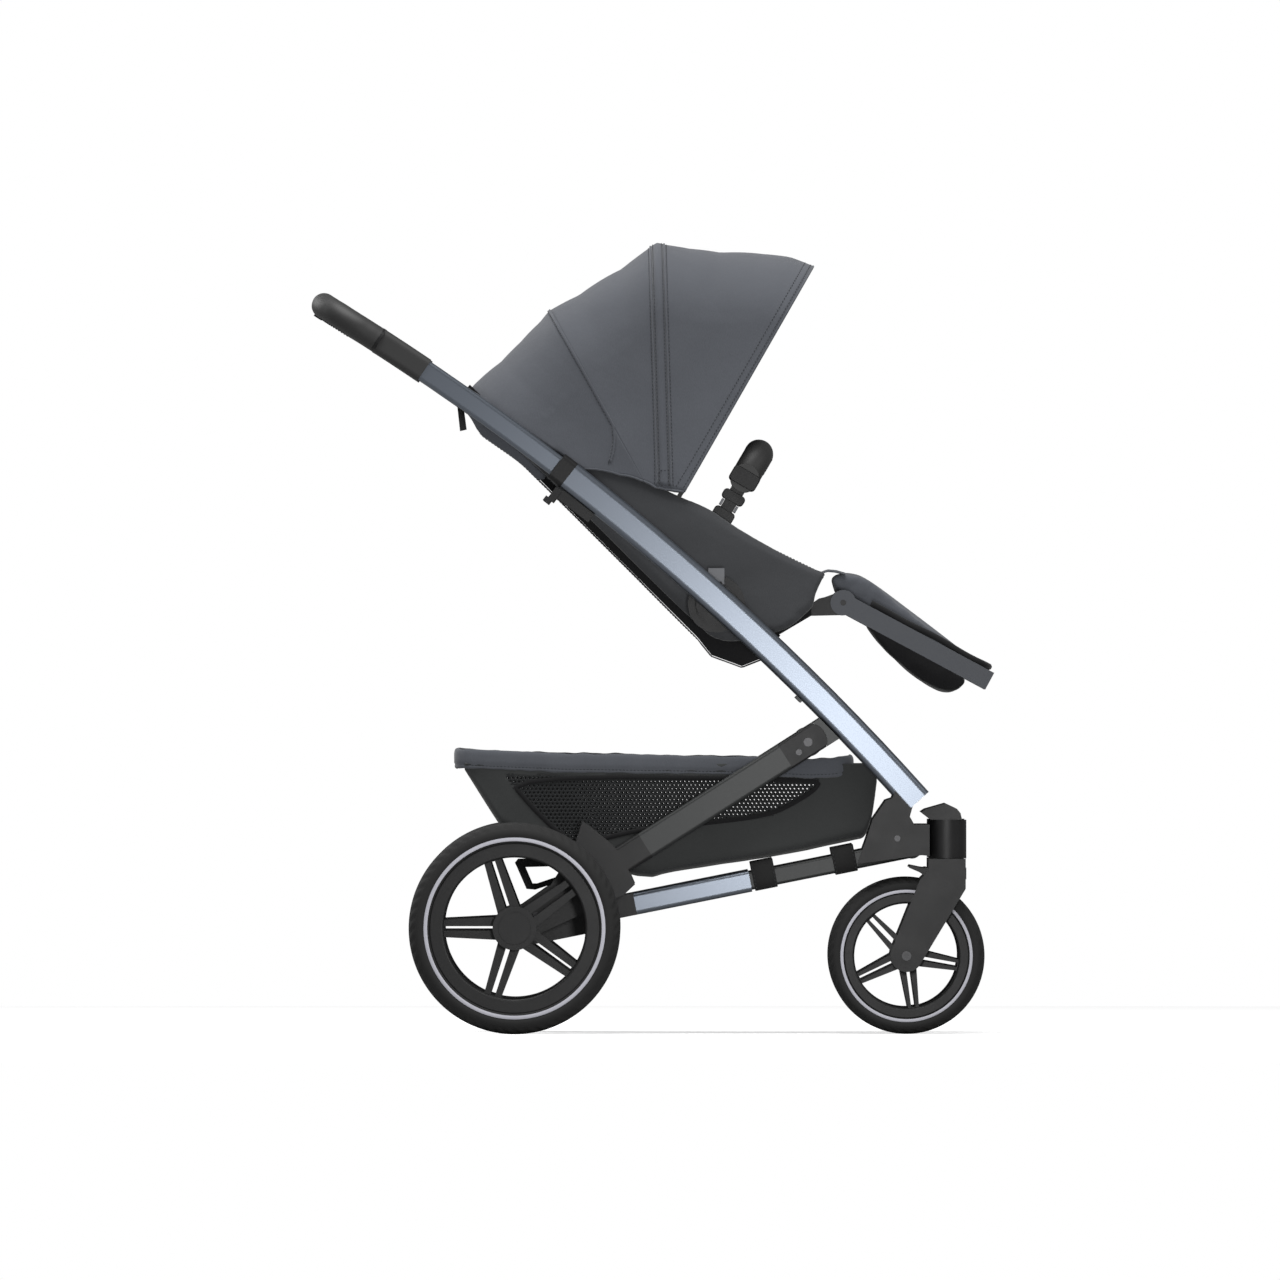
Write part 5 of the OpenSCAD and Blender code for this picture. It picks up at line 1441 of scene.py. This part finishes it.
# ---------------------------------------------------------------- screws and light trim
def screw_tree():
    """Socket-head screws on points, their heads facing up before they are turned."""
    name = "socket_screws"
    if name in bpy.data.node_groups:
        return bpy.data.node_groups[name]
    tree = bpy.data.node_groups.new(name, "GeometryNodeTree")
    tree.interface.new_socket("Geometry", in_out="INPUT", socket_type="NodeSocketGeometry")
    for label, default in (("Radius", 0.005), ("Height", 0.002), ("Turn", 0.0)):
        tree.interface.new_socket(label, in_out="INPUT", socket_type="NodeSocketFloat").default_value = default
    tree.interface.new_socket("Material", in_out="INPUT", socket_type="NodeSocketMaterial")
    tree.interface.new_socket("Geometry", in_out="OUTPUT", socket_type="NodeSocketGeometry")
    link, make = tree.links.new, tree.nodes.new
    inp, out = make("NodeGroupInput"), make("NodeGroupOutput")
    head, socket, cut = make("GeometryNodeMeshCylinder"), make("GeometryNodeMeshCylinder"), make("GeometryNodeMeshBoolean")
    head.inputs["Vertices"].default_value, socket.inputs["Vertices"].default_value = 28, 6
    small, raised = make("ShaderNodeMath"), make("GeometryNodeTransform")
    small.operation, small.inputs[1].default_value = "MULTIPLY", 0.5
    link(inp.outputs["Radius"], head.inputs["Radius"])
    link(inp.outputs["Height"], head.inputs["Depth"])
    link(inp.outputs["Radius"], small.inputs[0])
    link(small.outputs[0], socket.inputs["Radius"])
    link(inp.outputs["Height"], socket.inputs["Depth"])
    up = make("ShaderNodeCombineXYZ")
    half = make("ShaderNodeMath")
    half.operation, half.inputs[1].default_value = "MULTIPLY", 0.4
    link(inp.outputs["Height"], half.inputs[0])
    link(half.outputs[0], up.inputs["Z"])
    link(socket.outputs[0], raised.inputs["Geometry"])
    link(up.outputs[0], raised.inputs["Translation"])
    cut.operation = "DIFFERENCE"
    link(head.outputs[0], cut.inputs["Mesh 1"])
    link(raised.outputs[0], cut.inputs["Mesh 2"])
    put, turn, spin = make("GeometryNodeInstanceOnPoints"), make("ShaderNodeCombineXYZ"), make("FunctionNodeEulerToRotation")
    link(inp.outputs["Turn"], turn.inputs["X"])
    link(turn.outputs[0], spin.inputs[0])
    link(inp.outputs["Geometry"], put.inputs["Points"])
    link(cut.outputs["Mesh"], put.inputs["Instance"])
    link(spin.outputs[0], put.inputs["Rotation"])
    real, paint = make("GeometryNodeRealizeInstances"), make("GeometryNodeSetMaterial")
    link(put.outputs[0], real.inputs[0])
    link(real.outputs[0], paint.inputs["Geometry"])
    link(inp.outputs["Material"], paint.inputs["Material"])
    link(paint.outputs[0], out.inputs[0])
    return tree


def on_node(node_name, x, z, side):
    """Where a line from the side meets a CAD node."""
    hit, spot, _, _ = NODES[node_name].ray_cast(Vector((x * MM, side * 0.5, z * MM)), Vector((0, -side, 0)))
    return np.array(spot) / MM if hit else None


def make_screws():
    bpy.context.view_layer.update()
    for name, body, node_name, places, radius in (
            ("hub_screws", "chassis", "front_hub", [(335, 268), (372, 330)], 4.2),
            ("leg_screws", "rear_frame", "leg_fittings", [(200, 386), (-160, 163)], 4.2),
            ("housing_screws", "rail_rear", "rail_end_housings", [(-108.4, 178.9)], 5.0),
            ("bumper_screws", "bumper", "bumper_bar", [(BUMPER_PIVOT[0], BUMPER_PIVOT[1])], 5.0),
            ("adapter_screws", "chassis", "seat_adapters", [(SEAT_PIVOT[0] + 14, SEAT_PIVOT[1] - 58)], 3.6)):
        for side, word in ((-1, "right"), (1, "left")):
            found = [on_node(node_name, x, z, side) for x, z in places]
            found = [p + np.array([0, side * 0.4, 0]) for p in found if p is not None and abs(p[1]) > 60]
            if not found:
                continue
            mesh = bpy.data.meshes.new(name)
            mesh.from_pydata([tuple(p * MM) for p in found], [], [])
            obj = bpy.data.objects.new(f"{name}_{word}", mesh)
            bpy.context.scene.collection.objects.link(obj)
            run_tree(obj, screw_tree(), Radius=radius * MM, Height=2.2 * MM, Turn=-side * math.pi / 2,
                     Material=black_steel())
            finish_piece(obj, body, "steel_pin", black_steel())
    for word, side in (("right", -1), ("left", 1)):
        spot = on_node(f"front_fork_{word}", FRONT_AXLE[0], FRONT_AXLE[1], side)
        if spot is None:
            continue
        mesh = bpy.data.meshes.new("axle_bolt")
        mesh.from_pydata([tuple((spot + np.array([0, side * 0.6, 0])) * MM)], [], [])
        obj = bpy.data.objects.new(f"axle_bolt_{word}", mesh)
        bpy.context.scene.collection.objects.link(obj)
        run_tree(obj, screw_tree(), Radius=6.5 * MM, Height=3.0 * MM, Turn=-side * math.pi / 2,
                 Material=black_steel())
        finish_piece(obj, f"fork_{word}", "steel_pin", black_steel())


# ---------------------------------------------------------------- finishes and stage
def make_finishes():
    by_slot = {"anodised_tube": anodised, "graphite_tube": graphite, "black_plastic": moulding,
               "grey_plastic": grey_moulding,
               "steel_pin": steel, "spring_bow": spring_plastic, "leatherette": leatherette, "tyre_rubber": rubber,
               "grey_cloth": hood_cloth, "dark_cloth": lining_cloth, "webbing": webbing}
    for part in frame["record"]["subparts"]:
        obj = NODES[part["node"]]
        # the calf frame gets the darker copy of the tube metal, a painted shade against the fill light's highlight
        own = {"calf_frame": shaded_calf_metal, "pivot_pins": black_steel}.get(part["node"], by_slot[part["material_slot"]])
        for place_in in obj.material_slots:
            place_in.material = own()


def area_light(name, spot, target, width, height, power):
    data = bpy.data.lights.new(name, "AREA")
    data.shape, data.size, data.size_y, data.energy = "RECTANGLE", width, height, power
    light = bpy.data.objects.new(name, data)
    bpy.context.scene.collection.objects.link(light)
    light.location = spot
    light.rotation_euler = (Vector(target) - Vector(spot)).to_track_quat("-Z", "Y").to_euler()


def make_stage():
    scene = bpy.context.scene
    stage = scene.pushchair_stage
    bpy.ops.mesh.primitive_circle_add(vertices=96, radius=5.0, fill_type="NGON")
    floor = bpy.context.object
    floor.name = "floor"
    paint = bpy.data.materials.new("studio_floor")
    paint.use_nodes = True
    shader = paint.node_tree.nodes["Principled BSDF"]
    shader.inputs["Base Color"].default_value = tuple(stage.floor_color) + (1.0,)
    shader.inputs["Roughness"].default_value = 0.9
    shader.inputs["Specular IOR Level"].default_value = 0.1
    shader.inputs["Emission Color"].default_value = (1.0, 1.0, 1.0, 1.0)
    shader.inputs["Emission Strength"].default_value = 0.50
    tree = paint.node_tree
    dull, seen, mix = (tree.nodes.new("ShaderNodeBsdfDiffuse"), tree.nodes.new("ShaderNodeLightPath"),
                       tree.nodes.new("ShaderNodeMixShader"))
    dull.inputs["Color"].default_value = (0.35, 0.35, 0.35, 1.0)
    tree.links.new(seen.outputs["Is Camera Ray"], mix.inputs[0])
    tree.links.new(dull.outputs[0], mix.inputs[1])
    tree.links.new(shader.outputs[0], mix.inputs[2])
    tree.links.new(mix.outputs[0], tree.nodes["Material Output"].inputs["Surface"])
    floor.data.materials.append(paint)
    world = bpy.data.worlds.new("studio")
    world.use_nodes = True
    sky = world.node_tree
    dim = sky.nodes["Background"]
    dim.inputs["Color"].default_value = (1.0, 1.0, 1.0, 1.0)
    dim.inputs["Strength"].default_value = stage.world
    bright, seen, mix = (sky.nodes.new("ShaderNodeBackground"), sky.nodes.new("ShaderNodeLightPath"),
                         sky.nodes.new("ShaderNodeMixShader"))
    sky.links.new(seen.outputs["Is Camera Ray"], mix.inputs[0])
    sky.links.new(dim.outputs[0], mix.inputs[1])
    sky.links.new(bright.outputs[0], mix.inputs[2])
    sky.links.new(mix.outputs[0], sky.nodes["World Output"].inputs["Surface"])
    bright.inputs["Color"].default_value = (1.0, 1.0, 1.0, 1.0)
    scene.world = world
    area_light("key", (-0.5, -1.2, 4.6), (0, 0, 0.4), 3.2, 3.2, stage.key)
    area_light("fill", (0.27, -2.0, 0.40), (0.25, 0, 0.44), 0.22, 0.34, stage.key * 0.05)
    area_light("side", (3.4, -2.0, 1.9), (0, 0, 0.4), 1.8, 1.8, stage.key * 0.10)
    area_light("rim", (-3.2, 2.4, 2.6), (0, 0, 0.6), 1.6, 2.4, stage.key * 0.3)
    data = bpy.data.cameras.new("camera")
    data.lens, data.sensor_width, data.clip_start, data.clip_end = stage.lens, 36.0, 1.0, 400.0
    camera = bpy.data.objects.new("camera", data)
    scene.collection.objects.link(camera)
    away = 1.7536 * stage.lens / 36.0
    camera.location = (-0.0176, -0.222 - away, 0.5398)
    camera.rotation_euler = (math.pi / 2, 0, 0)
    scene.camera = camera
    scene.view_settings.view_transform = "Standard"


# ---------------------------------------------------------------- add-on
class PUSHCHAIR_OT_finishes(bpy.types.Operator):
    """Give the frame's tubes, mouldings and pins their finishes"""
    bl_idname = "pushchair.finishes"
    bl_label = "Finishes"

    def execute(self, context):
        make_finishes()
        return {"FINISHED"}


class PUSHCHAIR_OT_tyres(bpy.types.Operator):
    """Make the grooved tyres with their light rings"""
    bl_idname = "pushchair.tyres"
    bl_label = "Tyres"

    def execute(self, context):
        make_tyres()
        return {"FINISHED"}


class PUSHCHAIR_OT_hood(bpy.types.Operator):
    """Make the hood's cloth, piping, seams and hems"""
    bl_idname = "pushchair.hood"
    bl_label = "Hood"

    def execute(self, context):
        make_hood()
        return {"FINISHED"}


class PUSHCHAIR_OT_wings(bpy.types.Operator):
    """Make the seat's two padded side wings"""
    bl_idname = "pushchair.wings"
    bl_label = "Side Wings"

    def execute(self, context):
        make_wings()
        return {"FINISHED"}


class PUSHCHAIR_OT_cushion(bpy.types.Operator):
    """Make the seat and back cushion with its sewn channels"""
    bl_idname = "pushchair.cushion"
    bl_label = "Cushion"

    def execute(self, context):
        make_cushion()
        return {"FINISHED"}


class PUSHCHAIR_OT_harness(bpy.types.Operator):
    """Make the straps, shoulder pads and buckle"""
    bl_idname = "pushchair.harness"
    bl_label = "Harness"

    def execute(self, context):
        make_harness()
        return {"FINISHED"}


class PUSHCHAIR_OT_calf_rest(bpy.types.Operator):
    """Make the calf rest's pad, pouch and edge binding"""
    bl_idname = "pushchair.calf_rest"
    bl_label = "Calf Rest"

    def execute(self, context):
        make_calf_rest()
        return {"FINISHED"}


class PUSHCHAIR_OT_seat_covers(bpy.types.Operator):
    """Make the cloth under the seat and behind its back"""
    bl_idname = "pushchair.seat_covers"
    bl_label = "Seat Covers"

    def execute(self, context):
        make_seat_covers()
        return {"FINISHED"}


class PUSHCHAIR_OT_grip(bpy.types.Operator):
    """Make the sewn grip on the handle bar"""
    bl_idname = "pushchair.grip"
    bl_label = "Handle Grip"

    def execute(self, context):
        make_grip()
        return {"FINISHED"}


class PUSHCHAIR_OT_bumper(bpy.types.Operator):
    """Make the sewn cover on the bumper bar"""
    bl_idname = "pushchair.bumper"
    bl_label = "Bumper Cover"

    def execute(self, context):
        make_bumper()
        return {"FINISHED"}


class PUSHCHAIR_OT_basket(bpy.types.Operator):
    """Make the basket's cloth, net windows and piping"""
    bl_idname = "pushchair.basket"
    bl_label = "Basket"

    def execute(self, context):
        make_basket()
        return {"FINISHED"}


class PUSHCHAIR_OT_basket_band(bpy.types.Operator):
    """Make the padded band round the basket's rim"""
    bl_idname = "pushchair.basket_band"
    bl_label = "Basket Band"

    def execute(self, context):
        make_basket_band()
        return {"FINISHED"}


class PUSHCHAIR_OT_straps(bpy.types.Operator):
    """Make the webbing loops that tie the basket to its rails"""
    bl_idname = "pushchair.straps"
    bl_label = "Basket Straps"

    def execute(self, context):
        make_straps()
        return {"FINISHED"}


class PUSHCHAIR_OT_screws(bpy.types.Operator):
    """Make the socket screws on the mouldings"""
    bl_idname = "pushchair.screws"
    bl_label = "Screws"

    def execute(self, context):
        make_screws()
        return {"FINISHED"}


class PUSHCHAIR_OT_stage(bpy.types.Operator):
    """Make the floor, the lights and the camera"""
    bl_idname = "pushchair.stage"
    bl_label = "Stage"

    def execute(self, context):
        make_stage()
        return {"FINISHED"}


OPERATORS = [PUSHCHAIR_OT_finishes, PUSHCHAIR_OT_tyres, PUSHCHAIR_OT_hood, PUSHCHAIR_OT_wings,
             PUSHCHAIR_OT_cushion, PUSHCHAIR_OT_harness, PUSHCHAIR_OT_calf_rest, PUSHCHAIR_OT_seat_covers,
             PUSHCHAIR_OT_grip, PUSHCHAIR_OT_bumper, PUSHCHAIR_OT_basket, PUSHCHAIR_OT_basket_band,
             PUSHCHAIR_OT_straps, PUSHCHAIR_OT_screws, PUSHCHAIR_OT_stage]


class PUSHCHAIR_PT_sidebar(bpy.types.Panel):
    """Lists every piece and its settings"""
    bl_idname = "PUSHCHAIR_PT_sidebar"
    bl_label = "Pushchair"
    bl_space_type = "VIEW_3D"
    bl_region_type = "UI"
    bl_category = "Pushchair"

    def draw(self, context):
        for settings in (context.scene.pushchair_cloth, context.scene.pushchair_metal, context.scene.pushchair_trim,
                         context.scene.pushchair_stage):
            box = self.layout.box()
            for key in settings.bl_rna.properties.keys():
                if key not in ("rna_type", "name"):
                    box.prop(settings, key)
        for item in OPERATORS:
            self.layout.operator(item.bl_idname)


SETTINGS = [("pushchair_cloth", ClothSettings), ("pushchair_metal", MetalSettings), ("pushchair_trim", TrimSettings),
            ("pushchair_stage", StageSettings)]


def register():
    for key, settings in SETTINGS:
        bpy.utils.register_class(settings)
        setattr(bpy.types.Scene, key, bpy.props.PointerProperty(type=settings))
    for item in OPERATORS + [PUSHCHAIR_PT_sidebar]:
        bpy.utils.register_class(item)


def unregister():
    for item in reversed(OPERATORS + [PUSHCHAIR_PT_sidebar]):
        bpy.utils.unregister_class(item)
    for key, settings in reversed(SETTINGS):
        delattr(bpy.types.Scene, key)
        bpy.utils.unregister_class(settings)


def main():
    register()
    for item in OPERATORS:
        getattr(bpy.ops.pushchair, item.bl_idname.split(".")[1])()


if __name__ == "__main__":
    main()
